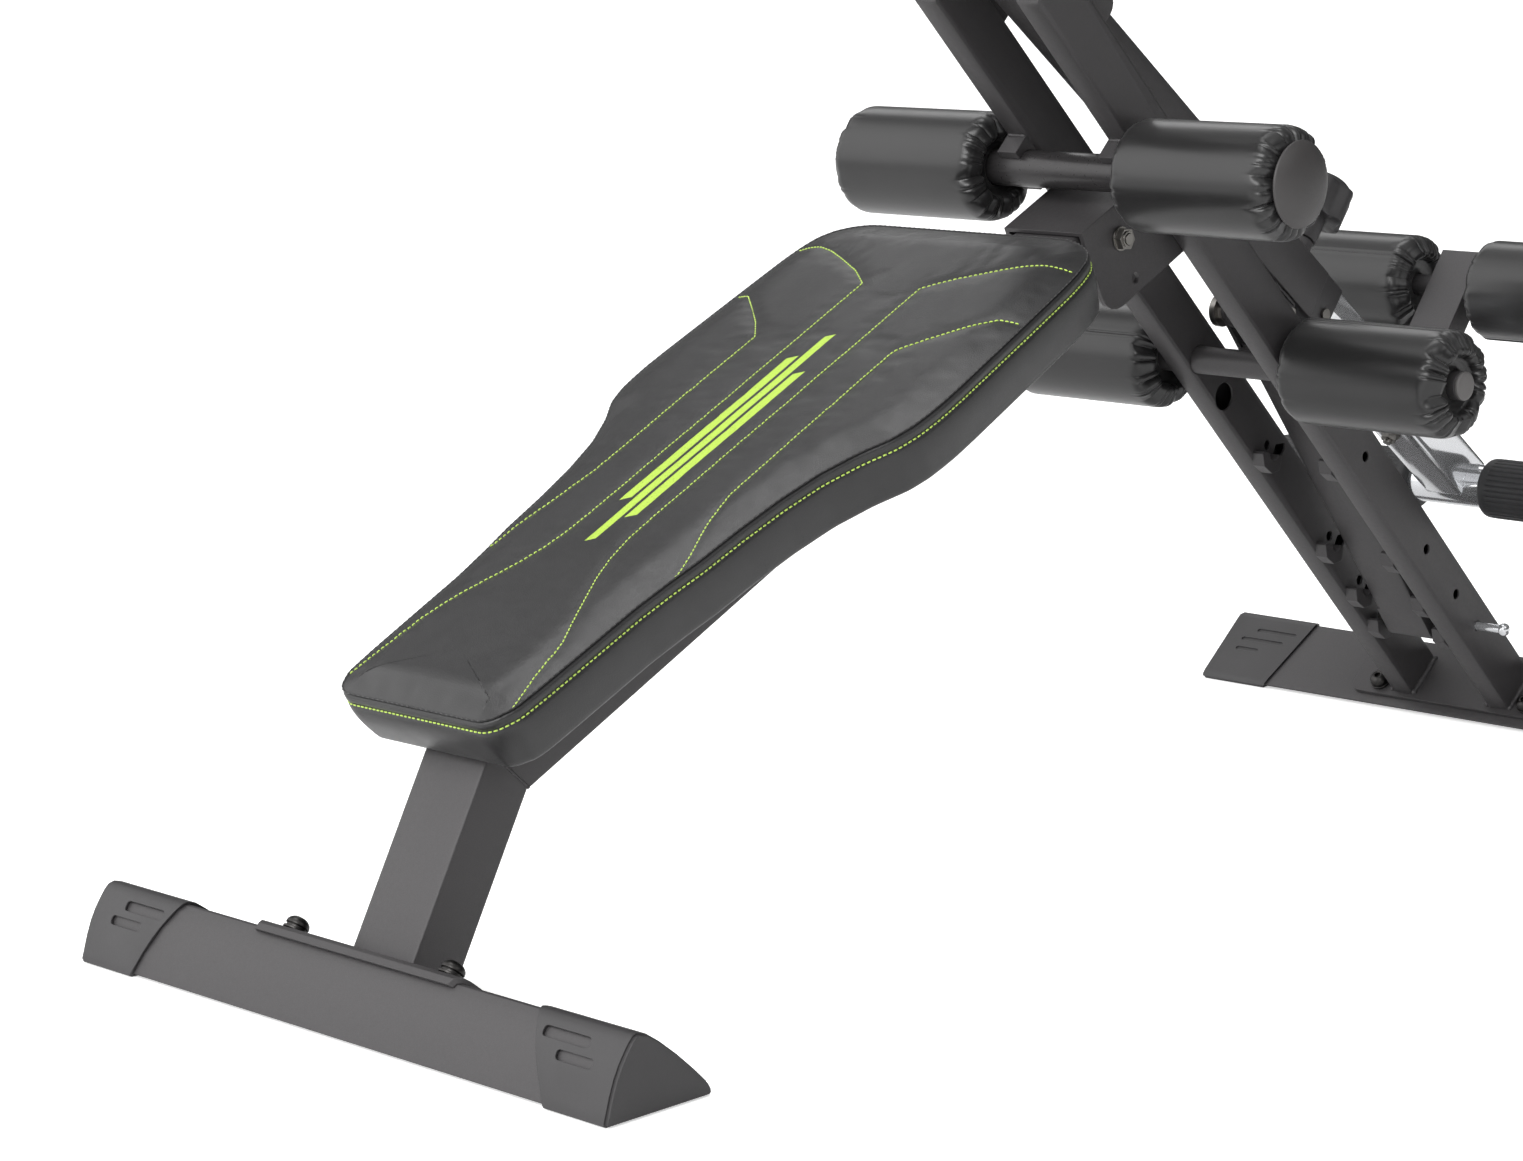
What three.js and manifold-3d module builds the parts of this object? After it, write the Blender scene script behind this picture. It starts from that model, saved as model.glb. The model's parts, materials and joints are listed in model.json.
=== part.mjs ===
// Decline sit-up bench with a hyperextension tower. Millimetres, +Z up.
// Origin: on the floor at the centre of the footprint. +X runs from the front foot to the tower,
// +Y to the far side. The dimensions below count x from the front foot's leading edge; add() moves
// everything to the origin. Everything is symmetric about y = 0 apart from knobs, pins and bolt
// ends, so most pairs are built on the far side and mirrored.
//
// Sloping parts are drawn level in a frame of their own, then tilted about the Y axis through x = 0,
// z = 0. In each frame x runs along the part and z stands square to it:
//   slope  x down the long slope of the front foot    bench  x up the bench
//   rail   x down the rails                           tube   x down the telescoping tube
import * as THREE from 'three';
import { mergeVertices, toCreasedNormals } from 'three/addons/utils/BufferGeometryUtils.js';
import Module from 'manifold-3d';

const wasm = await Module();
wasm.setup();

// ---------- driving dimensions ----------
const GAP = 0.3;                 // between touching pieces
const SEGMENTS = 24;             // round parts, unless a call says otherwise
const HEX_FLATS = 17;            // bolt heads and nuts, across flats

const FOOT_HALF = 300;           // feet are 600 long
const FOOT_BEAM_HALF = 292;
const FOOT_DEPTH = 101.5;        // steep edge to slope tip
const REAR_TIP_X = 1411.7;       // slope tip of the rear foot
const FOOTPRINT = REAR_TIP_X + FOOT_DEPTH;
const SLOPE_ANGLE = 39.9;        // the long slope falls at this angle
const SLOPE_Z = 69.35;           // cap slope face, slope frame
const CAP_WALL = 2.3;            // plastic end cap over the foot beam
const PLATE_WALL = 4;            // foot base plates
const PLATE_HALF = 118;
const PLATE_TOP = SLOPE_Z - CAP_WALL + GAP + PLATE_WALL;   // slope frame

const POST_ANGLE = 28.9;         // lean from vertical
const POST_X = [25.2, 75.2];
const POST_HALF = 35;            // half width of the post and the bench beam
const BENCH_ANGLE = 26;          // bench rises
const BEAM_Z = [67, 117];        // beam under the pad, bench frame
const BENCH_PIVOT = { x: 996, z: (BEAM_Z[0] + BEAM_Z[1]) / 2 };
const MITRE = { angle: 42, z: 237.4 };       // joint of post and beam

const RAIL_ANGLE = 45;
const RAIL_Z = [1018.4, 1068.4]; // 25 x 50 rails
const RAIL_Y = [43.5, 68.5];
const RAIL_TOP = -6;             // x of the upper end
const RAIL_MID_Z = (RAIL_Z[0] + RAIL_Z[1]) / 2;
const RAIL_HOLES = [624.8, 766, 837, 888].map((x) => ({ x, z: RAIL_MID_Z }));   // strut positions
const LOWER_BAR = { x: 487.1, z: 1034, radius: 12.7, half: 243 };
const SPARE_HOLE = { x: 540.5, z: LOWER_BAR.z };   // same bore as the lower bar's
const UPPER_BAR = { x: 187.9, z: 1001.9, radius: 16, half: 240 };

const TUBE_ANGLE = 38;
const TUBE_Z = 1066.5;           // axis of the tube
const OUTER_HALF = 25;           // 50 x 50 outer tube
const INNER_HALF = 22.5;         // 45 x 45 inner tube
const OUTER_TOP = TUBE_Z + OUTER_HALF;
const OUTER_BOTTOM = TUBE_Z - OUTER_HALF;
const INNER_TOP = TUBE_Z + INNER_HALF;
const INNER_BOTTOM = TUBE_Z - INNER_HALF;
const OUTER_X = [40, 646];
const TUBE_PIVOT = { x: 170, z: TUBE_Z };
const PIVOT_EAR_Y = [52.5, 57.5];            // ears behind the rails that carry the tube
const LUG = { x: 605, z: 1018, radius: 15 };
const PLUNGER_X = 620;
const FOOT_BAR = { x: 980, z: 1062, radius: 21, half: 205 };
const ANKLE_BAR = { x: 855, z: 1209.5, radius: 10, half: 205 };
const BAR_WALL = 2;
const ROLLER_RADIUS = 47.5;
const HIP_PLATE_WALL = 4;
const HANDLE_RADIUS = 12.7;

// ---------- outlines ----------
const shapeOf = (points) => new THREE.Shape(points.map(([x, y]) => new THREE.Vector2(x, y)));
const roundedRect = (xMin, xMax, yMin, yMax, radius, steps = 4) => {
  const points = [];
  const corner = (x, y, start) => {
    for (let i = 0; i <= steps; i++) {
      const angle = start + (i / steps) * Math.PI / 2;
      points.push([x + radius * Math.cos(angle), y + radius * Math.sin(angle)]);
    }
  };
  corner(xMax - radius, yMax - radius, 0);
  corner(xMin + radius, yMax - radius, Math.PI / 2);
  corner(xMin + radius, yMin + radius, Math.PI);
  corner(xMax - radius, yMin + radius, 1.5 * Math.PI);
  return points;
};
// a positive distance moves inward for a counter-clockwise outline
const offsetOutline = (points, distance) => points.map((point, i) => {
  const before = points[(i + points.length - 1) % points.length];
  const after = points[(i + 1) % points.length];
  const normal = (from, to) => {
    const [dx, dy] = [to[0] - from[0], to[1] - from[1]];
    const length = Math.hypot(dx, dy);
    return [-dy / length, dx / length];
  };
  const first = normal(before, point);
  const second = normal(point, after);
  const scale = distance / (1 + first[0] * second[0] + first[1] * second[1]);
  return [point[0] + scale * (first[0] + second[0]), point[1] + scale * (first[1] + second[1])];
});
const around = ({ x, z }, points) => points.map(([dx, dz]) => [x + dx, z + dz]);

// ---------- solids ----------
const toSolid = (source) => {
  const bare = source.clone();
  bare.deleteAttribute('normal');
  bare.deleteAttribute('uv');
  const merged = mergeVertices(bare, 1e-4);
  return new wasm.Manifold(new wasm.Mesh({
    numProp: 3,
    vertProperties: new Float32Array(merged.attributes.position.array),
    triVerts: new Uint32Array(merged.index.array),
  }));
};
const toGeometry = (solid) => {
  const mesh = solid.asOriginal().simplify(0.004).getMesh();
  const geometry = new THREE.BufferGeometry();
  const positions = new Float32Array(mesh.vertProperties);
  geometry.setAttribute('position', new THREE.BufferAttribute(positions, 3));
  geometry.setIndex(new THREE.BufferAttribute(new Uint32Array(mesh.triVerts), 1));
  return toCreasedNormals(geometry, THREE.MathUtils.degToRad(32));
};
const extrude = (points, depth) =>
  new THREE.ExtrudeGeometry(shapeOf(points), { depth, bevelEnabled: false, steps: 1 });
// outline in XZ, extruded along Y
const prism = (points, yMin, yMax) =>
  toSolid(extrude(points, yMax - yMin).rotateX(Math.PI / 2).translate(0, yMax, 0));
// outline in XY, extruded along Z
const slab = (points, zMin, zMax) => toSolid(extrude(points, zMax - zMin).translate(0, 0, zMin));
const box = (xMin, xMax, yMin, yMax, zMin, zMax) =>
  toSolid(new THREE.BoxGeometry(xMax - xMin, yMax - yMin, zMax - zMin)
    .translate((xMin + xMax) / 2, (yMin + yMax) / 2, (zMin + zMax) / 2));
const rodY = ({ x, z }, radius, yMin, yMax, segments = SEGMENTS) =>
  toSolid(new THREE.CylinderGeometry(radius, radius, yMax - yMin, segments)
    .translate(x, (yMin + yMax) / 2, z));
const rodZ = (x, y, radius, zMin, zMax, segments = SEGMENTS) =>
  toSolid(new THREE.CylinderGeometry(radius, radius, zMax - zMin, segments)
    .rotateX(Math.PI / 2).translate(x, y, (zMin + zMax) / 2));
// cutter that passes right through any frame part along Y
const boreY = (point, radius, segments) => rodY(point, radius, -100, 100, segments);
const hexY = (point, yMin, yMax) => rodY(point, HEX_FLATS / Math.sqrt(3), yMin, yMax, 6);
// profile rows are [radius, y], turned about the Y axis
const lathe = (profile, segments = SEGMENTS) => {
  const points = profile.map(([radius, y]) => new THREE.Vector2(radius, y));
  const geometry = new THREE.LatheGeometry(points, segments);
  const solid = toSolid(geometry);
  if (solid.volume() >= 0) return solid;
  geometry.index.array.reverse();      // the profile ran the other way: turn the faces outward
  return toSolid(geometry);
};
const latheAt = ({ x, z }, profile) => lathe(profile).translate([x, 0, z]);
// rectangular tube along X; solid when wall is 0
const tubeX = (xMin, xMax, halfWidth, zMin, zMax, radius, wall) => {
  const basis = new THREE.Matrix4().makeBasis(
    new THREE.Vector3(0, 1, 0), new THREE.Vector3(0, 0, 1), new THREE.Vector3(1, 0, 0));
  const bar = (inset, from, to) => {
    const section = roundedRect(-halfWidth + inset, halfWidth - inset, zMin + inset, zMax - inset,
      Math.max(radius - inset, 0.8), 2);
    return toSolid(extrude(section, to - from).applyMatrix4(basis).translate(from, 0, 0));
  };
  const outer = bar(0, xMin, xMax);
  return wall ? outer.subtract(bar(wall, xMin - 1, xMax + 1)) : outer;
};

// ---------- frames ----------
const tilt = (solid, degrees) => solid.rotate([0, degrees, 0]);
const onSlope = (solid) => tilt(solid, SLOPE_ANGLE);
const onBench = (solid) => tilt(solid, -BENCH_ANGLE);
const onRail = (solid) => tilt(solid, RAIL_ANGLE);
const onTube = (solid) => tilt(solid, TUBE_ANGLE);
// the same tilt for a point; other properties are kept
const tiltPoint = ({ x, z, ...rest }, degrees) => {
  const angle = THREE.MathUtils.degToRad(degrees);
  const [cos, sin] = [Math.cos(angle), Math.sin(angle)];
  return { ...rest, x: x * cos + z * sin, z: z * cos - x * sin };
};
const mirrorY = (solid) => solid.mirror([0, 1, 0]);
const toRearFoot = (solid) => solid.mirror([1, 0, 0]).translate([FOOTPRINT, 0, 0]);
const FAR_OUT = 4000;                  // reach of the half-space cutters
const halfAbove = (degrees, z) =>
  tilt(box(-FAR_OUT, FAR_OUT, -FAR_OUT, FAR_OUT, z, z + FAR_OUT), degrees);
const halfBelow = (degrees, z) =>
  tilt(box(-FAR_OUT, FAR_OUT, -FAR_OUT, FAR_OUT, z - FAR_OUT, z), degrees);

// ---------- finishes and output ----------
const FINISHES = {
  frame: { color: 0x2e2d2e, roughness: 0.55, metalness: 0.35 },
  plastic: { color: 0x1e1e20, roughness: 0.6, metalness: 0 },
  vinyl: { color: 0x0d0d0e, roughness: 0.4, metalness: 0 },
  zinc: { color: 0x6d6a66, roughness: 0.35, metalness: 0.9 },
  chrome: { color: 0xc9ccd0, roughness: 0.12, metalness: 1 },
  board: { color: 0x3a3128, roughness: 0.8, metalness: 0 },
  grip: { color: 0x17171a, roughness: 0.75, metalness: 0 },
  black: { color: 0x1a1a1b, roughness: 0.45, metalness: 0.6 },
};
const root = new THREE.Group();
root.name = 'decline_sit_up_bench';
const add = (name, solid, finish) => {
  const geometry = toGeometry(solid.translate([-FOOTPRINT / 2, 0, 0]));
  const mesh = new THREE.Mesh(geometry, new THREE.MeshStandardMaterial(FINISHES[finish]));
  mesh.name = name;
  root.add(mesh);
};
const addPair = (name, farSolid, finish) => {
  add(`${name}_far`, farSolid, finish);
  add(`${name}_near`, mirrorY(farSolid), finish);
};

// ---------- feet: both drawn as the front foot, the rear one then mirrored ----------
// section outlines [x, z], counter-clockwise seen with X right and Z up
const CAP_OUTLINE = [
  [3, 0], [98.5, 0], [101, 2.2], [100.2, 5.6], [97, 9.3], [85, 19.3], [68.5, 33.1],
  [52, 46.9], [40.5, 56.4], [37, 58.9], [33.2, 59.8], [29.2, 58.6], [25, 54.6],
  [20.8, 49.2], [15.2, 41], [10.5, 32], [6.2, 21], [2.8, 10], [0.6, 3], [0.9, 0.9],
];
// swell of the front caps along their slope, by outline point
const BULGE = [0, 0, 0, 0.3, 1, 1.9, 2.4, 2.0, 0.9];
const FRONT_CAP_OUTLINE = CAP_OUTLINE.map(([x, z], i) =>
  [x + (BULGE[i] || 0) * 0.64, z + (BULGE[i] || 0) * 1.3]);
const CORE_OUTLINE = [
  [2.2, 0], [99, 0], [101.2, 4], [97, 9.3], [40.5, 56.4], [36.2, 59.3],
  [31.4, 59.4], [25, 54.6], [15.2, 41], [6.2, 21], [1, 3],
];
const HOLLOW_OUTLINE = [
  [0.9, 0], [108.1, 0], [40.5, 56.4], [33.6, 60.2], [25, 54.6], [15.2, 41], [6.2, 21],
];
const BEAM_OUTLINE = offsetOutline(CORE_OUTLINE, CAP_WALL);
const BEAM_HOLLOW = offsetOutline(HOLLOW_OUTLINE, CAP_WALL + 2);
const CAP_HOLLOW = offsetOutline(CORE_OUTLINE, CAP_WALL - GAP);
// inner edge of the far cap: y = y0 - 0.1485 x - 0.5 z
const CAP_EDGE = { y0: 237, normal: new THREE.Vector3(0.1485, 1, 0.5).normalize() };
// steep face slots: y range, height up the face, then centre and tilt of the face there
const STEEP_SLOTS = [
  { y: [217, 264], height: 8.2, x: 20.3, z: 48.5, angle: 55.8 },
  { y: [237, 274], height: 7.4, x: 13.31, z: 36.8, angle: 65.8 },
];
// slots on the slope: [y from, y to, x in the slope frame]
const SLOPE_SLOTS = [[216, 266, 9], [226, 279, 22], [250, 279, 35]];
const SLOPE_SLOT_HALF = 2.2;
// foot bolt [radius, height above the plate]: button head on a flat and a spring washer
const FOOT_BOLT_PROFILE = [
  [0, -16], [4, -16], [4, 0], [10, 0], [10, 2.2], [8, 2.2], [8, 4.4], [9.4, 4.4],
  [9.4, 6], [8.6, 8.4], [6.4, 10.6], [3.6, 11.6], [2.4, 11.6], [2.2, 9], [0, 9],
];
// bolt and plate x are in the slope frame
const FEET = [
  {
    name: 'front', place: (solid) => solid,
    bolt: { x: 0.5, y: 88.6 }, plate: { x: [-24, 63], corner: 26, lip: 61 },
    capOutline: FRONT_CAP_OUTLINE, slotRaise: 1.6,
  },
  {
    name: 'rear', place: toRearFoot,
    bolt: { x: 50, y: 86 }, plate: { x: [-8, 64], corner: 12, lip: 52 },
    capOutline: CAP_OUTLINE, slotRaise: 0,
  },
];

const cutFootBolts = (solid, { x, y }, zMin, zMax) => solid
  .subtract(onSlope(rodZ(x, -y, 4.6, zMin, zMax, 16)))
  .subtract(onSlope(rodZ(x, y, 4.6, zMin, zMax, 16)));

const footBeam = ({ bolt }) => {
  const beam = prism(BEAM_OUTLINE, -FOOT_BEAM_HALF, FOOT_BEAM_HALF)
    .subtract(prism(BEAM_HOLLOW, -FOOT_BEAM_HALF - 1, FOOT_BEAM_HALF + 1));
  return cutFootBolts(beam, bolt, SLOPE_Z - 12, SLOPE_Z + 10);
};

const footCap = ({ capOutline, slotRaise }) => {
  const outerRim = prism(capOutline, FOOT_HALF - 3, FOOT_HALF + 1)
    .subtract(prism(offsetOutline(capOutline, 1.4), FOOT_HALF - 4, FOOT_HALF + 2));
  const { normal, y0 } = CAP_EDGE;
  const reach = y0 * normal.y;         // distance of the edge plane from the frame's origin
  const yAxis = new THREE.Vector3(0, 1, 0);
  const edgeCut = new THREE.BoxGeometry(600, 400, 600)
    .translate(0, -200, 0)
    .applyQuaternion(new THREE.Quaternion().setFromUnitVectors(yAxis, normal))
    .translate(normal.x * reach, normal.y * reach, normal.z * reach);
  let cap = prism(capOutline, 190, FOOT_HALF)
    .subtract(prism(CAP_HOLLOW, 150, FOOT_BEAM_HALF + GAP))
    .subtract(outerRim)
    .subtract(toSolid(edgeCut));
  for (const { y, height, x, z, angle } of STEEP_SLOTS) {
    const slot = slab(roundedRect(-height / 2, height / 2, ...y, 2.8, 3), -3.2, 3);
    cap = cap.subtract(tilt(slot, -angle).translate([x, 0, z]));
  }
  for (const [yMin, yMax, x] of SLOPE_SLOTS) {
    const outline = roundedRect(x - SLOPE_SLOT_HALF, x + SLOPE_SLOT_HALF, yMin, yMax, 2.1, 1);
    cap = cap.subtract(onSlope(slab(outline, SLOPE_Z - 1.3 + slotRaise, SLOPE_Z + 6)));
  }
  return cap;
};

// plate bent over the foot beam, kept above the lip height in the slope frame
const basePlate = ({ plate, bolt }) => {
  const outer = offsetOutline(BEAM_OUTLINE, -(GAP + PLATE_WALL));
  const inner = offsetOutline(BEAM_OUTLINE, -GAP);
  const outline = roundedRect(...plate.x, -PLATE_HALF, PLATE_HALF, plate.corner, 6);
  const bent = prism(outer, -PLATE_HALF, PLATE_HALF)
    .subtract(prism(inner, -PLATE_HALF - 1, PLATE_HALF + 1))
    .intersect(onSlope(slab(outline, plate.lip, 90)))
    .subtract(box(-50, 200, -200, 200, -20, 8));
  return cutFootBolts(bent, bolt, 40, 90);
};

const footBolt = ({ bolt }) => onSlope(lathe(FOOT_BOLT_PROFILE, 12)
  .rotate([90, 0, 0]).translate([bolt.x, bolt.y, PLATE_TOP + GAP]));

for (const foot of FEET) {
  const { name, place } = foot;
  add(`${name}_beam`, place(footBeam(foot)), 'frame');
  addPair(`${name}_cap`, place(footCap(foot)), 'plastic');
  add(`${name}_base_plate`, place(basePlate(foot)), 'frame');
  addPair(`${name}_bolt`, place(footBolt(foot)), 'black');
}

// ---------- bench post and beam ----------
const post = () => {
  const bar = (inset, radius, zMin, zMax) => slab(roundedRect(POST_X[0] + inset, POST_X[1] - inset,
    -POST_HALF + inset, POST_HALF - inset, radius, 2), zMin, zMax);
  return tilt(bar(0, 4, -20, 330).subtract(bar(2, 2, -21, 331)), POST_ANGLE)
    .subtract(halfBelow(SLOPE_ANGLE, PLATE_TOP + GAP))
    .subtract(halfAbove(MITRE.angle, MITRE.z - GAP / 2));
};
add('post', post(), 'frame');

const PAD_BOLTS = { low: 300, high: 700 };         // x in the bench frame
const cutPadBolts = (solid, radius, zMin, zMax, segments) => Object.values(PAD_BOLTS).reduce(
  (cut, x) => cut.subtract(rodZ(x, 0, radius, zMin, zMax, segments)), solid);

const benchBeam = () => {
  const { x } = BENCH_PIVOT;
  const roundedEnd = box(x, x + 60, -60, 60, 40, 140).subtract(boreY(BENCH_PIVOT, 24.7));
  const beam = tubeX(60, x + 25, POST_HALF, ...BEAM_Z, 4, 2)
    .subtract(roundedEnd)
    .subtract(boreY(BENCH_PIVOT, 5.4, 20));
  return onBench(cutPadBolts(beam, 4.6, 60, 125, 16))
    .subtract(halfBelow(MITRE.angle, MITRE.z + GAP / 2));
};
add('bench_beam', benchBeam(), 'frame');

// ---------- pad ----------
const PAD_START = 183;
// [distance from the pad's low end, half width], joined by a spline
const PAD_HALF_WIDTHS = [
  [0, 76], [17, 93], [68, 97], [160, 100], [215, 108], [288, 115], [352, 131], [398, 158],
  [430, 164.5], [460, 165.5], [520, 163], [600, 159], [640, 155.5], [668, 146], [684, 122],
  [688, 100],
];
const BOARD_Z = [BEAM_Z[1] + GAP, 129];
// cushion levels [z, inset]: straight sides, rounded top edge
const CUSHION_LEVELS = [[BOARD_Z[0] + 4, 0], [165, 0], [173, 4], [176.8, 14]];

const padOutline = (inset) => {
  const knots = PAD_HALF_WIDTHS.map(([x, y]) => new THREE.Vector2(PAD_START + x, y));
  const edge = new THREE.SplineCurve(knots).getPoints(26);
  const near = edge.map(({ x, y }) => [x, -y]);
  const far = edge.map(({ x, y }) => [x, y]).reverse();
  return offsetOutline([...near, ...far], inset);
};

const padBoard = () =>
  onBench(cutPadBolts(slab(padOutline(9), ...BOARD_Z), 4.6, 100, 140, 16));
add('pad_board', padBoard(), 'board');

const cushionLayer = ([zLow, insetLow], [zHigh, insetHigh]) => {
  const low = padOutline(insetLow);
  const high = padOutline(insetHigh);
  const count = low.length;
  const faces = (outline) =>
    THREE.ShapeUtils.triangulateShape(outline.map((point) => new THREE.Vector2(...point)), []);
  const positions = [...low.map((point) => [...point, zLow]), ...high.map((point) => [...point, zHigh])];
  const index = [];
  for (let k = 0; k < count; k++) {
    const next = (k + 1) % count;
    index.push(k, next, count + k, next, count + next, count + k);
  }
  for (const [a, b, c] of faces(low)) index.push(c, b, a);
  for (const [a, b, c] of faces(high)) index.push(count + a, count + b, count + c);
  const geometry = new THREE.BufferGeometry();
  geometry.setAttribute('position', new THREE.BufferAttribute(new Float32Array(positions.flat()), 3));
  geometry.setIndex(index);
  return toSolid(geometry);
};
const cushion = () => {
  const body = CUSHION_LEVELS.slice(1)
    .map((level, i) => cushionLayer(CUSHION_LEVELS[i], level))
    .reduce((whole, layer) => whole.add(layer));
  // pocket below for the board
  const hollowed = body.subtract(slab(padOutline(8.5), BOARD_Z[0] - 10, BOARD_Z[1] + GAP));
  return onBench(cutPadBolts(hollowed, 5, 120, 146, 12));
};
add('pad', cushion(), 'vinyl');

for (const [name, x] of Object.entries(PAD_BOLTS)) {
  const bolt = rodZ(x, 0, 4, BEAM_Z[0] - 1, 140, 16)
    .add(rodZ(x, 0, 7.5, BEAM_Z[0] - 6, BEAM_Z[0] - GAP, 6));
  add(`pad_bolt_${name}`, onBench(bolt), 'zinc');
}

// ---------- rails ----------
const TUBE_PIVOT_WORLD = tiltPoint(TUBE_PIVOT, TUBE_ANGLE);
// hook centres, level frame
const HOOKS = RAIL_HOLES.map((hole) => {
  const { x, z } = tiltPoint(hole, RAIL_ANGLE);
  return { x: x - 4, z: z - 6 };
});
const HOOK_DEPTH = 12;                 // how far a hook stands in from the rail wall
const HOOK_RADIUS = 7.2;
// [x, z] about the hook centre
const HOOK_SKIRT = [
  [11, -4.4], [9.5, -11], [7.5, -17.5], [-4, -19], [-15.5, -11], [-18, 1], [-15.5, 3],
];
const HOOK_WINDOW = [[13, -13], [20, -13], [31, -1], [31, 5], [17, 5], [12, -4]];

// welded seat that carries the upper bar in front of the rail
const cradle = () => box(UPPER_BAR.x - 24, UPPER_BAR.x + 24, RAIL_Y[0] + 2, RAIL_Y[1] - 2,
  UPPER_BAR.z - 3, RAIL_Z[0] + 1.5).subtract(boreY(UPPER_BAR, UPPER_BAR.radius + GAP));

// cutter that rounds one corner of the rail's upper end; side points into the rail
const railCorner = (z, side) => {
  const centre = { x: RAIL_TOP + 8, z: z + side * 9 };
  return box(RAIL_TOP - 1, centre.x, 40, 72, Math.min(z, centre.z), Math.max(z, centre.z))
    .subtract(boreY(centre, 8.5, 16));
};

// ear welded behind the rail
const pivotEar = ({ x, z }) => {
  const root = RAIL_Z[1] - 1.5;
  const roundedTop = roundedRect(x - 42, x + 42, root, z + 18.5, 14, 4).slice(0, 10);
  return prism([...roundedTop, [x - 42, root], [x + 42, root]], ...PIVOT_EAR_Y);
};

const hook = (centre) => {
  const seat = [];
  for (let k = 0; k <= 7; k++) {
    const angle = THREE.MathUtils.degToRad(176 + k * 23.4);
    seat.push([HOOK_RADIUS * Math.cos(angle), HOOK_RADIUS * Math.sin(angle)]);
  }
  const outline = around(centre, [...seat, ...HOOK_SKIRT]);
  return prism(outline, RAIL_Y[0] - HOOK_DEPTH, RAIL_Y[0] + 1);
};

const rail = () => {
  const [yMin, yMax] = RAIL_Y;
  const [zMin, zMax] = RAIL_Z;
  const pivot = tiltPoint(TUBE_PIVOT_WORLD, -RAIL_ANGLE);
  let body = tubeX(RAIL_TOP, 1060, (yMax - yMin) / 2, zMin, zMax, 4, 2)
    .translate([0, (yMin + yMax) / 2, 0])
    .add(box(RAIL_TOP, RAIL_TOP + 3, yMin + 1, yMax - 1, zMin + 1, zMax - 1))
    .subtract(railCorner(zMax + 0.5, -1))
    .subtract(railCorner(zMin - 0.5, 1))
    .add(cradle())
    .add(pivotEar(pivot))
    .subtract(boreY(pivot, 6.4, 16))
    .subtract(boreY(LOWER_BAR, LOWER_BAR.radius + GAP))
    .subtract(boreY(SPARE_HOLE, LOWER_BAR.radius + GAP));
  for (const hole of RAIL_HOLES) body = body.subtract(boreY(hole, 5, 12));
  body = onRail(body);
  for (const centre of HOOKS) {
    // the window is cut in the inner wall only
    const window = prism(around(centre, HOOK_WINDOW), yMin - 3, yMin + 5);
    body = body.subtract(window).add(hook(centre));
  }
  return body
    .subtract(halfBelow(0, 0))
    .subtract(toRearFoot(halfBelow(SLOPE_ANGLE, PLATE_TOP + GAP)));
};
addPair('rail', rail(), 'frame');

// ---------- bench bracket: U channel between the rails ----------
const BRACKET_Y = [38.8, 43.2];        // inside and outside of each ear
const BRACKET_OUTLINE = [
  [954, 121.5], [954, 58], [955.5, 50], [960, 43.5], [967, 39.5], [975, 38],
  [1106, 38], [1100, 55], [1077, 121.5],
];
const benchBracket = () => {
  const [inside, outside] = BRACKET_Y;
  return onBench(prism(BRACKET_OUTLINE, -outside, outside)
    .subtract(box(940, 1120, -inside, inside, 20, 118))
    .subtract(box(1030, 1120, -inside, inside, 20, 130))
    .subtract(boreY(BENCH_PIVOT, 5.4, 20))
    .subtract(boreY({ x: 999.4, z: 51 }, 5, 20)));
};
add('bench_bracket', benchBracket(), 'frame');

const benchPivotBolt = () => {
  const face = BRACKET_Y[1];
  return onBench(rodY(BENCH_PIVOT, 5, -face - 11, face + 2, 20)
    .add(hexY(BENCH_PIVOT, face + GAP, face + 6.8))
    .add(rodY(BENCH_PIVOT, 10, face + GAP, face + 2)));
};
add('bench_pivot_bolt', benchPivotBolt(), 'zinc');

const benchPivotNut = () => {
  const face = -BRACKET_Y[1];
  return onBench(hexY(BENCH_PIVOT, face - 8.6, face - 1)
    .add(rodY(BENCH_PIVOT, 10.5, face - 2, face - GAP))
    .add(rodY(BENCH_PIVOT, 7, face - 10, face - 7))
    .subtract(rodY(BENCH_PIVOT, 5.3, -80, 0, 20)));
};
add('bench_pivot_nut', benchPivotNut(), 'zinc');

// ---------- roller bars ----------
const barTube = (bar) => rodY(bar, bar.radius, -bar.half, bar.half)
  .subtract(rodY(bar, bar.radius - BAR_WALL, -bar.half - 1, bar.half + 1));
const roller = (bar, yMin, yMax) => {
  const bore = bar.radius + 0.5;
  return latheAt(bar, [
    [bore, yMin], [bore, yMax], [38, yMax], [ROLLER_RADIUS - 2, yMax - 6],
    [ROLLER_RADIUS, yMax - 18], [ROLLER_RADIUS, yMin + 18], [ROLLER_RADIUS - 2, yMin + 6],
    [38, yMin], [bore, yMin],
  ]);
};
const endPlug = (bar) => {
  const stem = bar.radius - BAR_WALL - GAP;
  const end = bar.half;
  return latheAt(bar, [
    [0, end - 15], [stem, end - 15], [stem, end + GAP], [12.7, end + GAP],
    [12.7, end + 2], [10.8, end + 3.8], [0, end + 4.2],
  ]);
};
const upperCap = (bar) => latheAt(bar, [
  [0, 222], [13.6, 222], [13.6, bar.half + GAP], [35, bar.half + GAP],
  [36, 241.5], [33, 246], [20, 249.6], [0, 251],
]);

const upperBar = tiltPoint(UPPER_BAR, RAIL_ANGLE);
add('upper_bar', barTube(upperBar), 'frame');
addPair('upper_roller', roller(upperBar, 75, 239), 'vinyl');
addPair('upper_cap', upperCap(upperBar), 'plastic');

const lowerBar = tiltPoint(LOWER_BAR, RAIL_ANGLE);
add('lower_bar', barTube(lowerBar), 'frame');
addPair('lower_roller', roller(lowerBar, 73.5, 242), 'vinyl');
addPair('lower_cap', endPlug(lowerBar), 'plastic');

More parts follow.
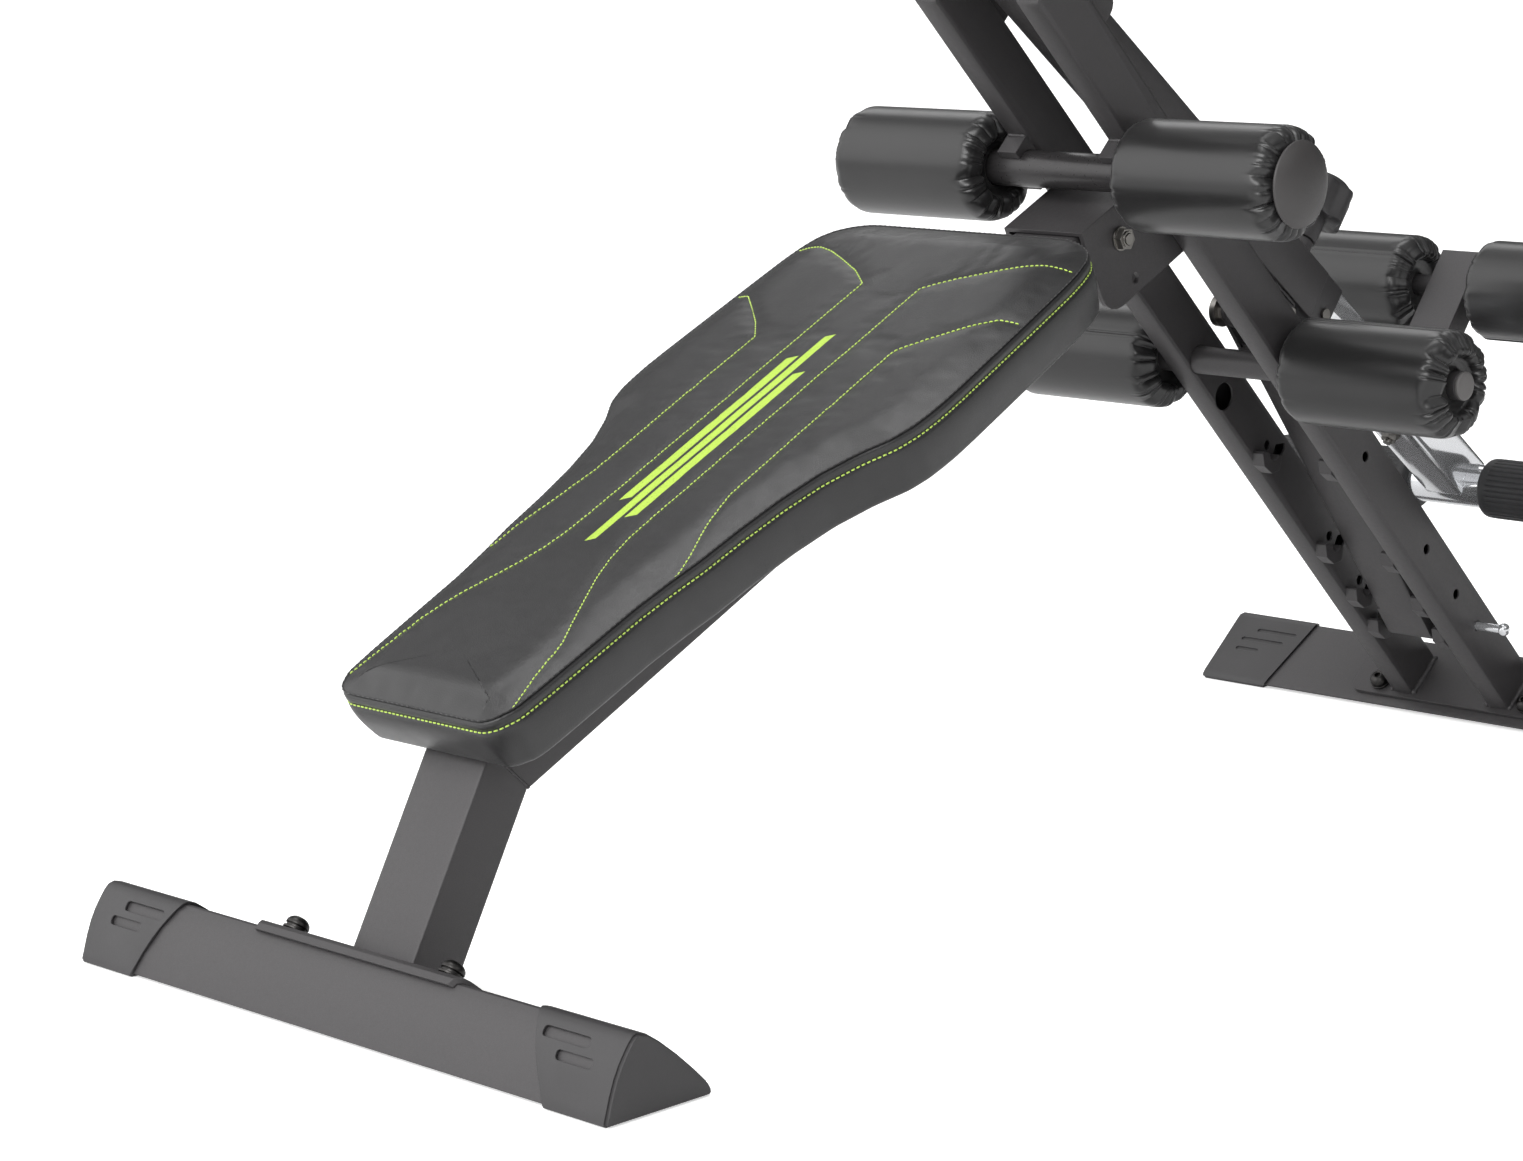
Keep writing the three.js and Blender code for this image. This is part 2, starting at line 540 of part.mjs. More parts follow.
// ---------- telescoping tube ----------
const squareTube = (xMin, xMax, half, radius, wall) =>
  tubeX(xMin, xMax, half, TUBE_Z - half, TUBE_Z + half, radius, wall);

const outerTube = () => {
  const [start, end] = OUTER_X;
  const inset = OUTER_HALF - 1;
  const lugWeb = [
    [LUG.x - 22, OUTER_BOTTOM + 1], [LUG.x - 14, LUG.z - 4],
    [LUG.x + 14, LUG.z - 4], [LUG.x + 22, OUTER_BOTTOM + 1],
  ];
  const hipPlate = box(45, 104, -95, 95, OUTER_TOP - 1, OUTER_TOP + HIP_PLATE_WALL);
  const plungerBoss = rodZ(PLUNGER_X, 0, 11, OUTER_TOP - 1, OUTER_TOP + 16, 20);
  return onTube(squareTube(start, end, OUTER_HALF, 5, 2)
    .add(box(start, start + 2.5, -inset, inset, TUBE_Z - inset, TUBE_Z + inset))
    .add(rodY(LUG, LUG.radius, -24, 24))
    .add(prism(lugWeb, -20, 20))
    .add(hipPlate)
    .add(plungerBoss)
    .subtract(rodZ(PLUNGER_X, 0, 5.4, OUTER_TOP - 10, OUTER_TOP + 20, 16))
    .subtract(boreY(LUG, 5.4, 20))
    .subtract(boreY(TUBE_PIVOT, 6.4, 16)));
};
add('outer_tube', outerTube(), 'frame');

const BUSHING_SCREW = { x: OUTER_X[1] + 17, z: TUBE_Z - 10 };
const tubeBushing = () => {
  const end = OUTER_X[1];
  return onTube(squareTube(end + GAP, end + 28, OUTER_HALF - 0.4, 5, 0)
    .subtract(squareTube(end - 5, end + 40, INNER_HALF + 0.35, 4, 0))
    .subtract(rodY(BUSHING_SCREW, 2.3, -40, 0, 16)));
};
add('tube_bushing', tubeBushing(), 'plastic');

const bushingScrew = () => {
  const face = -OUTER_HALF + 0.1;
  return onTube(rodY(BUSHING_SCREW, 5.4, face - 2.6, face, 20)
    .add(rodY(BUSHING_SCREW, 2, face - 1, face + 1.9, 14)));
};
add('bushing_screw', bushingScrew(), 'zinc');

const ADJUST_HOLES = { first: 500, pitch: 40, count: 6 };
const innerTube = () => {
  let tube = squareTube(300, FOOT_BAR.x + 4, INNER_HALF, 4, 1.8)
    .subtract(boreY(FOOT_BAR, FOOT_BAR.radius + GAP))
    .subtract(box(FOOT_BAR.x, FOOT_BAR.x + 60, -60, 60, 900, 1200));
  for (let i = 0; i < ADJUST_HOLES.count; i++) {
    const x = ADJUST_HOLES.first + i * ADJUST_HOLES.pitch;
    tube = tube.subtract(rodZ(x, 0, 5.4, TUBE_Z + 15, TUBE_Z + 30, 12));
  }
  return onTube(tube.subtract(rodZ(ANKLE_BAR.x, 0, 4.5, TUBE_Z - 40, TUBE_Z + 40, 16)));
};
add('inner_tube', innerTube(), 'chrome');

const footSleeve = () => onTube(rodY(FOOT_BAR, 28.6, 46, 203)
  .add(rodY(FOOT_BAR, 27.6, 42, 46.5))
  .add(rodY(FOOT_BAR, 29.4, 202, 209))
  .subtract(rodY(FOOT_BAR, FOOT_BAR.radius + GAP, 0, 205.4)));
add('foot_bar', onTube(barTube(FOOT_BAR)), 'chrome');
addPair('foot_sleeve', footSleeve(), 'grip');

// ankle post stands square on the tube
const ANKLE_FOOT_Z = INNER_TOP + GAP;
const anklePost = () => {
  const { x } = ANKLE_BAR;
  return onTube(box(x - 12.5, x + 12.5, -22.5, 22.5, ANKLE_FOOT_Z, 1243)
    .subtract(box(x - 10.5, x + 10.5, -20.5, 20.5, ANKLE_FOOT_Z + 4, 1190))
    .subtract(boreY(ANKLE_BAR, ANKLE_BAR.radius + GAP))
    .subtract(rodZ(x, 0, 4.5, ANKLE_FOOT_Z - 5, ANKLE_FOOT_Z + 10, 16))
    .subtract(boreY({ x, z: ANKLE_FOOT_Z + 14 }, 7, 16)));
};
add('ankle_post', anklePost(), 'frame');
add('ankle_bar', onTube(barTube(ANKLE_BAR)), 'frame');
addPair('ankle_roller', onTube(roller(ANKLE_BAR, 36, 203.5)), 'vinyl');
addPair('ankle_cap', onTube(endPlug(ANKLE_BAR)), 'plastic');

const anklePostBolt = () => {
  const { x } = ANKLE_BAR;
  return onTube(rodZ(x, 0, 4, INNER_BOTTOM - 12, ANKLE_FOOT_Z + 14, 16)
    .add(rodZ(x, 0, 7.5, ANKLE_FOOT_Z + 4.3, ANKLE_FOOT_Z + 11, 6))
    .add(rodZ(x, 0, 7.8, INNER_BOTTOM - 8.6, INNER_BOTTOM - 1.8, 6))
    .add(rodZ(x, 0, 9.5, INNER_BOTTOM - 2.2, INNER_BOTTOM - GAP, 20)));
};
add('ankle_post_bolt', anklePostBolt(), 'zinc');

// six-lobed knob over the plunger boss
const pullKnob = () => {
  const base = OUTER_TOP + 16.4;
  const lobes = [];
  for (let k = 0; k < 36; k++) {
    const angle = (k / 36) * 2 * Math.PI;
    const radius = 27 + 2.6 * Math.cos(6 * angle);
    lobes.push([PLUNGER_X + radius * Math.cos(angle), radius * Math.sin(angle)]);
  }
  return onTube(slab(lobes, base + 24, base + 60)
    .add(rodZ(PLUNGER_X, 0, 13, base + 0.4, base + 26))
    .add(rodZ(PLUNGER_X, 0, 23, base + 59, base + 63, 32))
    .add(rodZ(PLUNGER_X, 0, 4.8, INNER_TOP + 0.4, base + 10, 16)));
};
add('pull_knob', pullKnob(), 'plastic');

// ---------- strut: drawn along X from the lug to the last hook ----------
const lugWorld = tiltPoint(LUG, TUBE_ANGLE);
const strutRun = HOOKS[3].x - lugWorld.x;
const strutDrop = lugWorld.z - HOOKS[3].z;
const STRUT_HEAD = { x: 0, z: 0 };
const STRUT_FOOT = { x: Math.hypot(strutRun, strutDrop), z: 0 };
const STRUT_HALF = 12.5;               // half thickness
const onStrut = (solid) =>
  tilt(solid, THREE.MathUtils.radToDeg(Math.atan2(strutDrop, strutRun)))
    .translate([lugWorld.x, 0, lugWorld.z]);

const strut = () => {
  const foot = STRUT_FOOT.x;
  // two cheeks reach past the lug; a solid block joins them
  const cheek = prism(roundedRect(-15, 60, -STRUT_HALF, STRUT_HALF, 12, 5), 26, 30);
  return onStrut(tubeX(30, foot - 6, 25, -STRUT_HALF, STRUT_HALF, 4, 2)
    .add(cheek)
    .add(mirrorY(cheek))
    .add(box(34, 60, -30, 30, -STRUT_HALF, STRUT_HALF))
    .add(rodY(STRUT_FOOT, STRUT_HALF, -25, 25))
    .add(box(foot - 30, foot, -25, 25, -STRUT_HALF, STRUT_HALF))
    .subtract(boreY(STRUT_FOOT, 6.3, 20))
    .subtract(boreY(STRUT_HEAD, 5.4, 20))
    .subtract(tilt(rodZ(0, 0, 6, 20, 70, 16), 90)));
};
add('strut', strut(), 'frame');
add('strut_foot_pin', onStrut(rodY(STRUT_FOOT, 6, -41, 41)), 'zinc');

const strutPivotBolt = () => onStrut(rodY(STRUT_HEAD, 5, -40, 40, 20)
  .add(hexY(STRUT_HEAD, 30.3, 37))
  .add(hexY(STRUT_HEAD, -38, -30.3))
  .add(rodY(STRUT_HEAD, 15, 37, 43)));
add('strut_pivot_bolt', strutPivotBolt(), 'zinc');

// ---------- tube pivot bolt and lock pin ----------
const tubePivotBolt = () => {
  const [inside, outside] = PIVOT_EAR_Y;
  const spacer = rodY(TUBE_PIVOT_WORLD, 9.8, OUTER_HALF + 0.6, inside - GAP, 16);
  return rodY(TUBE_PIVOT_WORLD, 6, -outside - 9, outside + 2, 16)
    .add(hexY(TUBE_PIVOT_WORLD, outside + GAP, outside + 8))
    .add(hexY(TUBE_PIVOT_WORLD, -outside - 9, -outside - 1.6))
    .add(rodY(TUBE_PIVOT_WORLD, 9.8, -outside - 2, -outside - GAP, 16))
    .add(spacer)
    .add(mirrorY(spacer));
};
add('tube_pivot_bolt', tubePivotBolt(), 'zinc');

// [radius, y]
const LOCK_PIN_PROFILE = [
  [0, -48], [4.2, -50], [4.2, -97], [4.6, -97.6], [4.6, -101.5], [2.6, -103.6], [0, -104],
];
add('lock_pin', latheAt(tiltPoint(RAIL_HOLES[3], RAIL_ANGLE), LOCK_PIN_PROFILE), 'chrome');

// ---------- hip pads and handle ----------
const hipPad = () => {
  const base = OUTER_TOP + HIP_PLATE_WALL + GAP;
  return onTube(slab(roundedRect(-26, 102, 14, 134, 24), base, base + 40)
    .add(slab(roundedRect(-22, 98, 18, 130, 22), base + 30, base + 47)));
};
addPair('hip_pad', hipPad(), 'vinyl');

const HANDLE = { x: 118, z: OUTER_TOP + HANDLE_RADIUS + GAP, half: 165, rise: 130, bend: 40 };
const handleBar = () => {
  const { x, z, half, rise, bend } = HANDLE;
  const at = (y, up) => new THREE.Vector3(x, y, z + up);
  const path = new THREE.CurvePath();
  path.add(new THREE.LineCurve3(at(-half, rise), at(-half, bend)));
  path.add(new THREE.QuadraticBezierCurve3(at(-half, bend), at(-half, 0), at(-half + bend, 0)));
  path.add(new THREE.LineCurve3(at(-half + bend, 0), at(half - bend, 0)));
  path.add(new THREE.QuadraticBezierCurve3(at(half - bend, 0), at(half, 0), at(half, bend)));
  path.add(new THREE.LineCurve3(at(half, bend), at(half, rise)));
  const section = new THREE.Shape();
  section.absarc(0, 0, HANDLE_RADIUS, 0, Math.PI * 2, false);
  return onTube(toSolid(new THREE.ExtrudeGeometry(section,
    { extrudePath: path, steps: 18, curveSegments: 6, bevelEnabled: false })));
};
add('handle_bar', handleBar(), 'frame');

// [radius, height], closed at the top
const GRIP_PROFILE = [
  [13, 0], [13, 86.5], [0, 86.5], [0, 97], [15.5, 95], [17, 90],
  [16, 84], [16, 12], [16.5, 6], [17.5, 3], [16.5, 0], [13, 0],
];
const grip = () => onTube(lathe(GRIP_PROFILE, 16)
  .rotate([90, 0, 0]).translate([HANDLE.x, HANDLE.half, HANDLE.z + HANDLE.rise - 86]));
addPair('grip', grip(), 'grip');

export default root;
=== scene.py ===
# An exercise bench: an inclined padded board, a sloping tube with hip pads, and bars
# carrying foam rollers and foot sleeves. It stands on z = 0 with its length along x
# (the front feet at low x) and its width along y: "far" is +y and "near" is -y.
# Lengths are millimetres unless a comment says metres; the scene is in metres.
import bpy
import bmesh
import json
import math
import numpy as np
from mathutils import Matrix, Vector
from mathutils.bvhtree import BVHTree
from mathutils.kdtree import KDTree


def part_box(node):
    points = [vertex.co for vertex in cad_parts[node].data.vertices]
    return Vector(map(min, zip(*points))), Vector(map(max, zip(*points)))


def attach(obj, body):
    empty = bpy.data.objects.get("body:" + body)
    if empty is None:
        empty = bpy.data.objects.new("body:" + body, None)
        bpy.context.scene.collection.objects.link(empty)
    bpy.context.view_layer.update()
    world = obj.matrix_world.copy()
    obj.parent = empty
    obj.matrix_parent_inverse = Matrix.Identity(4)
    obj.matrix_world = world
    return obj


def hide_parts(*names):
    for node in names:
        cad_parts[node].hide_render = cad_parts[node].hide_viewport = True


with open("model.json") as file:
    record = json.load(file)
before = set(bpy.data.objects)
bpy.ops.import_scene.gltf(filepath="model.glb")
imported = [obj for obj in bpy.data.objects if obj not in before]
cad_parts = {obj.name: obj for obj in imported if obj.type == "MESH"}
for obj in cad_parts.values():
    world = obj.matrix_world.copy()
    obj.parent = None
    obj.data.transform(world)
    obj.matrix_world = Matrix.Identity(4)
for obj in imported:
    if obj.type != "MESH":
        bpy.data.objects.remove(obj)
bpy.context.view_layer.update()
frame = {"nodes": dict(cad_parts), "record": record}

NODES = frame["nodes"]
RECORD = frame["record"]
BODY = {
    node: body for body, nodes in RECORD["behaviour"]["bodies"].items() for node in nodes}
SIDES = (("far", 1), ("near", -1))
scene = bpy.context.scene


# ---------------------------------------------------------------- tilted frames
FRONT_EDGE = 0.7566      # metres from the front feet's leading edge back to x = 0
SLOPE_ANGLE = 39.9       # degrees, tilt of the foot plates


class Tilted:
    """A frame turned about y, with its origin at the front feet's leading edge.

    Its coordinates are along, y and height, in millimetres.
    """

    def __init__(self, degrees):
        self.cos = math.cos(math.radians(degrees))
        self.sin = math.sin(math.radians(degrees))

    def __call__(self, along, y, height):
        return Vector(((along * self.cos + height * self.sin) / 1000 - FRONT_EDGE,
                       y / 1000,
                       (-along * self.sin + height * self.cos) / 1000))

    def local(self, points):
        """Scene points, in metres, as rows of along, y, height."""
        x, y, z = (points[:, 0] + FRONT_EDGE) * 1000, points[:, 1] * 1000, points[:, 2] * 1000
        return np.stack([x * self.cos - z * self.sin, y, x * self.sin + z * self.cos], 1)

    def up(self):
        return (self(0, 0, 1) - self(0, 0, 0)).normalized()


BENCH = Tilted(-26)
RAIL = Tilted(45)
TUBE = Tilted(38)
POST = Tilted(28.9)
LEVEL = Tilted(0)


def vertex_array(obj):
    return np.array([vertex.co for vertex in obj.data.vertices])


# ---------------------------------------------------------------- shader graphs
BLACK, WHITE = (0, 0, 0), (1, 1, 1)
BEVEL_SAMPLES = 4


def tint(color, factor, lift=0):
    return tuple(min(1, channel * factor + lift) for channel in color)


class Graph:
    """Builds nodes in a tree; the named steps return an output socket."""

    def __init__(self, tree):
        self.tree = tree

    def connect(self, socket, value):
        if isinstance(value, bpy.types.NodeSocket):
            self.tree.links.new(value, socket)
        elif socket.type == "RGBA":
            socket.default_value = (*value, 1)
        else:
            socket.default_value = value

    def feed(self, node, **inputs):
        """Sets or links inputs by name, with underscores for spaces."""
        for name, value in inputs.items():
            self.connect(node.inputs[name.replace("_", " ")], value)

    def node(self, kind, **inputs):
        node = self.tree.nodes.new(kind)
        self.feed(node, **inputs)
        return node

    def math(self, operation, *values):
        node = self.node("ShaderNodeMath")
        node.operation = operation
        for socket, value in zip(node.inputs, values):
            self.connect(socket, value)
        return node.outputs[0]

    def dot(self, first, second):
        node = self.node("ShaderNodeVectorMath")
        node.operation = "DOT_PRODUCT"
        self.connect(node.inputs[0], first)
        self.connect(node.inputs[1], second)
        return node.outputs["Value"]

    def mix(self, factor, first, second):
        node = self.node("ShaderNodeMix")
        node.data_type = "RGBA"
        for index, value in ((0, factor), (6, first), (7, second)):    # the colour sockets
            self.connect(node.inputs[index], value)
        return node.outputs[2]

    def ramp(self, factor, low, high):
        """Colour ramp between two stops, each a position and a colour."""
        node = self.node("ShaderNodeValToRGB")
        self.connect(node.inputs[0], factor)
        for element, (position, color) in zip(node.color_ramp.elements, (low, high)):
            element.position = position
            element.color = (*color, 1)
        return node.outputs[0]

    def map_range(self, value, source, target=(0, 1), interpolation="SMOOTHSTEP"):
        node = self.node("ShaderNodeMapRange")
        node.interpolation_type = interpolation
        for socket, setting in zip(node.inputs, (value, *source, *target)):
            self.connect(socket, setting)
        return node.outputs[0]


class Skin(Graph):
    """A material with one principled shader, textured in object coordinates."""

    def __init__(self, name):
        self.material = bpy.data.materials.new(name)
        self.material.use_nodes = True
        super().__init__(self.material.node_tree)
        self.tree.nodes.clear()
        output = self.node("ShaderNodeOutputMaterial")
        self.shader = self.node("ShaderNodeBsdfPrincipled")
        self.feed(output, Surface=self.shader.outputs[0])
        self.coords = self.node("ShaderNodeTexCoord").outputs["Object"]

    def set(self, **inputs):
        self.feed(self.shader, **inputs)

    def noise(self, scale, detail=3, roughness=0.5, vector=None):
        node = self.node("ShaderNodeTexNoise", Scale=scale, Detail=detail, Roughness=roughness,
                         Vector=vector or self.coords)
        return node.outputs[0]

    def stretched(self, scale):
        return self.node("ShaderNodeMapping", Scale=scale, Vector=self.coords).outputs[0]

    def bevel(self, radius):
        node = self.node("ShaderNodeBevel", Radius=radius)
        node.samples = BEVEL_SAMPLES
        return node.outputs[0]

    def wear(self, radius, source):
        """1 along sharp edges, 0 on flats."""
        geometry = self.node("ShaderNodeNewGeometry")
        facing = self.dot(self.bevel(radius), geometry.outputs["True Normal"])
        turned = self.math("SUBTRACT", 1.0, facing)
        return self.map_range(turned, source, interpolation="LINEAR")

    def bump(self, height, distance, strength, edge_radius=None):
        """Relief, over edges rounded to edge_radius; both lengths in metres."""
        node = self.node("ShaderNodeBump", Strength=strength, Distance=distance, Height=height)
        if edge_radius is not None:
            self.feed(node, Normal=self.bevel(edge_radius))
        self.set(Normal=node.outputs[0])


# ---------------------------------------------------------------- materials
def coat(name, color, roughness=0.46, sparkle=1.0, relief=0.55):
    """Textured paint with light flecks and patchily worn edges."""
    skin = Skin(name)
    fine = skin.noise(scale=1400, detail=4, roughness=0.6)
    medium = skin.noise(scale=260)
    broad = skin.noise(scale=7)
    base = skin.ramp(fine, (0.35, tint(color, 0.86)), (0.68, tint(color, 1.16)))
    base = skin.mix(skin.math("MULTIPLY", broad, 0.35), base, tint(color, 0.82))
    flecks = skin.ramp(skin.noise(scale=2600, detail=2), (0.66, BLACK), (0.76, (sparkle,) * 3))
    base = skin.mix(skin.math("MULTIPLY", flecks, 0.16), base, tint(color, 3.2, lift=0.05))
    patches = skin.ramp(skin.noise(scale=60, detail=4, roughness=0.6), (0.48, BLACK), (0.7, WHITE))
    worn = skin.math("MULTIPLY", skin.wear(radius=0.0011, source=(0.05, 0.42)), patches)
    base = skin.mix(skin.math("MULTIPLY", worn, 0.25), base, tint(color, 2.2, lift=0.03))
    skin.set(Base_Color=base, Metallic=0.25, Specular_IOR_Level=0.5,
             Roughness=skin.math("MULTIPLY_ADD", medium, 0.16, roughness - 0.08))
    skin.bump(skin.math("ADD", fine, skin.math("MULTIPLY", medium, 0.7)),
              distance=0.00012, strength=relief, edge_radius=0.0012)
    return skin.material


def plastic(name, color, roughness):
    """Pebbled plastic, paler at the edges."""
    skin = Skin(name)
    pebbles = skin.node("ShaderNodeTexVoronoi", Scale=1500, Vector=skin.coords).outputs[0]
    fine = skin.noise(scale=500, detail=4, roughness=0.6)
    broad = skin.noise(scale=14)
    base = skin.ramp(broad, (0.3, tint(color, 0.85)), (0.7, tint(color, 1.12)))
    worn = skin.math("MULTIPLY", skin.wear(radius=0.0013, source=(0.05, 0.5)), 0.25)
    skin.set(Base_Color=skin.mix(worn, base, tint(color, 1.8, lift=0.01)),
             Roughness=skin.math("MULTIPLY_ADD", fine, 0.2, roughness - 0.1))
    skin.bump(skin.math("ADD", pebbles, fine),
              distance=0.00008, strength=0.5, edge_radius=0.001)
    return skin.material


def metal(name, color, roughness, brushed=1.0, edge_radius=0.0006, dirt=0.25, metallic=1.0):
    """Metal with fine brushing and duller patches."""
    skin = Skin(name)
    brushing = skin.noise(scale=160, detail=5, roughness=0.6, vector=skin.stretched((1, 14, 1)))
    broad = skin.noise(scale=22, detail=4, roughness=0.6)
    skin.set(Base_Color=skin.ramp(broad, (0.3, tint(color, 1 - dirt)), (0.62, color)),
             Metallic=metallic,
             Roughness=skin.math("MULTIPLY_ADD", brushing, 0.14 * brushed, roughness))
    skin.bump(brushing, distance=0.00003, strength=0.3 * brushed, edge_radius=edge_radius)
    return skin.material


# Printed stripes on the pad: y range, and range along the slanted bench axis.
STRIPES = [((-16.5, -7.5), (420, 628)), ((-4.0, 4.0), (392, 690)), ((7.5, 16.5), (454, 662))]
STRIPE_SLANT = 0.6
STRIPE_FLOOR = 168       # the stripes print only above this height


def stripe_mask(skin):
    """1 inside the stripes, read from the pad's bench coordinates."""
    attribute = skin.node("ShaderNodeAttribute")
    attribute.attribute_name = "bench_sy"
    split = skin.node("ShaderNodeSeparateXYZ", Vector=attribute.outputs["Vector"])
    along, across, height = split.outputs
    slanted = skin.math("MULTIPLY_ADD", across, STRIPE_SLANT, along)

    def within(value, limits):
        return skin.math("MULTIPLY", skin.math("GREATER_THAN", value, limits[0]),
                         skin.math("LESS_THAN", value, limits[1]))

    mask = None
    for width, length in STRIPES:
        stripe = skin.math("MULTIPLY", within(across, width), within(slanted, length))
        mask = stripe if mask is None else skin.math("MAXIMUM", mask, stripe)
    return skin.math("MULTIPLY", mask, skin.math("GREATER_THAN", height, STRIPE_FLOOR))


def vinyl(name, color, roughness, grain, relief, unevenness, gloss_spread, crease_shading,
          striped=False):
    """Grained vinyl: warped cells whose creases are darkened by painted shade, and on the pad
    printed stripes.
    """
    skin = Skin(name)
    warp = skin.node("ShaderNodeVectorMath")
    warp.operation = "MULTIPLY_ADD"
    warp.inputs[1].default_value = (0.0016,) * 3
    skin.connect(warp.inputs[0], skin.noise(scale=240, detail=2).node.outputs["Color"])
    skin.connect(warp.inputs[2], skin.coords)
    cells = skin.node("ShaderNodeTexVoronoi")
    cells.feature = "DISTANCE_TO_EDGE"
    skin.feed(cells, Scale=grain, Vector=warp.outputs[0])
    cell = skin.ramp(cells.outputs[0], (0.0, BLACK), (0.22, WHITE))
    broad = skin.noise(scale=9)
    medium = skin.noise(scale=70, detail=4, roughness=0.55)
    base = skin.ramp(broad, (0.3, tint(color, 0.8)), (0.7, tint(color, 1.25)))
    # The cell edges, sunk as grooves by the bump, are darkened: painted shade in the creases.
    crease_shade_mask = skin.math("MULTIPLY", skin.math("SUBTRACT", 1.0, cell), crease_shading)
    base = skin.mix(crease_shade_mask, base, tint(color, 0.45))
    gloss = skin.math("MULTIPLY_ADD", medium, gloss_spread, roughness - gloss_spread / 2)
    if striped:
        mask = stripe_mask(skin)
        worn = skin.ramp(skin.noise(scale=900, roughness=0.6), (0.28, (0.25,) * 3), (0.42, WHITE))
        lime = skin.mix(broad, (0.37, 0.57, 0.045), (0.45, 0.65, 0.07))
        base = skin.mix(skin.math("MULTIPLY", mask, worn), base, lime)
        gloss = skin.math("MULTIPLY_ADD", mask, 0.12, gloss)
    skin.set(Base_Color=base, Roughness=gloss, Specular_IOR_Level=0.55,
             Sheen_Weight=0.06, Sheen_Roughness=0.5)
    skin.bump(skin.math("ADD", cell, skin.math("MULTIPLY", medium, unevenness)),
              distance=0.00016, strength=relief)
    return skin.material


def thread(name, color):
    """Twisted sewing thread."""
    skin = Skin(name)
    twist = skin.node("ShaderNodeTexWave", Scale=900, Distortion=2.0, Vector=skin.coords)
    strands = twist.outputs["Fac"]
    skin.set(Base_Color=skin.ramp(strands, (0.2, tint(color, 0.62)), (0.8, color)),
             Roughness=0.6, Sheen_Weight=0.3)
    skin.bump(strands, distance=0.0001, strength=0.6)
    return skin.material


def rubber(name, color):
    skin = Skin(name)
    fine = skin.noise(scale=800, detail=4, roughness=0.6)
    broad = skin.noise(scale=18)
    skin.set(Base_Color=skin.ramp(broad, (0.3, tint(color, 0.8)), (0.7, tint(color, 1.3))),
             Roughness=skin.math("MULTIPLY_ADD", fine, 0.25, 0.42))
    skin.bump(fine, distance=0.0001, strength=0.5, edge_radius=0.0006)
    return skin.material


def felt(name):
    skin = Skin(name)
    fibres = skin.noise(scale=1200, detail=5, roughness=0.7)
    broad = skin.noise(scale=30)
    color = skin.ramp(fibres, (0.3, (0.010, 0.010, 0.010)), (0.7, (0.035, 0.035, 0.036)))
    skin.set(Base_Color=color, Sheen_Weight=0.4,
             Roughness=skin.math("MULTIPLY_ADD", broad, 0.1, 0.85))
    skin.bump(fibres, distance=0.0004, strength=0.6)
    return skin.material


def wood(name):
    skin = Skin(name)
    grain = skin.noise(scale=6, detail=6, roughness=0.65, vector=skin.stretched((3, 40, 40)))
    color = skin.ramp(grain, (0.3, (0.16, 0.10, 0.055)), (0.7, (0.34, 0.23, 0.13)))
    skin.set(Base_Color=color, Roughness=0.75)
    skin.bump(grain, distance=0.0003, strength=0.4)
    return skin.material


MATERIALS = dict(
    frame_coat=coat("frame_coat", (0.057, 0.0542, 0.056)),
    # The frame coat made darker for the upper bar: painted shade on the same paint, with a
    # glossier finish.
    shaded_frame_coat=coat("shaded_frame_coat", (0.036, 0.034, 0.035), roughness=0.30, sparkle=0.4, relief=0.10),
    cap_plastic=plastic("cap_plastic", (0.034, 0.0325, 0.034), roughness=0.46),
    end_disc=plastic("end_disc", (0.050, 0.047, 0.047), roughness=0.45),
    plug=plastic("tube_plug", (0.115, 0.11, 0.108), roughness=0.5),
    pad_vinyl=vinyl("pad_vinyl", (0.0165, 0.0162, 0.0168), roughness=0.34, grain=620,
                    relief=0.34, unevenness=1.0, gloss_spread=0.16, crease_shading=0.35,
                    striped=True),
    roll_vinyl=vinyl("roller_vinyl", (0.0125, 0.0122, 0.0125), roughness=0.29, grain=760,
                     relief=0.03, unevenness=0.25, gloss_spread=0.06, crease_shading=0.12),
    fastener_zinc=metal("fastener_zinc", (0.25, 0.24, 0.225), roughness=0.24),
    chrome_tube=metal("chrome_tube", (0.80, 0.81, 0.83), roughness=0.07, brushed=0.35,
                      edge_radius=0.0012, dirt=0.06, metallic=0.80),
    pad_board=wood("pad_board"),
    felt=felt("dust_cover"),
    grip_rubber=rubber("grip_rubber", (0.03, 0.03, 0.032)),
    fastener_black=metal("fastener_black", (0.055, 0.053, 0.052), roughness=0.28),
    lime=thread("thread_lime", (0.60, 0.86, 0.12)),
    dark=thread("thread_black", (0.03, 0.03, 0.03)),
)


# ---------------------------------------------------------------- the given pieces
SMOOTH_BELOW = 31        # degrees; sharper edges stay hard
WELD_DISTANCE = 2e-6     # metres


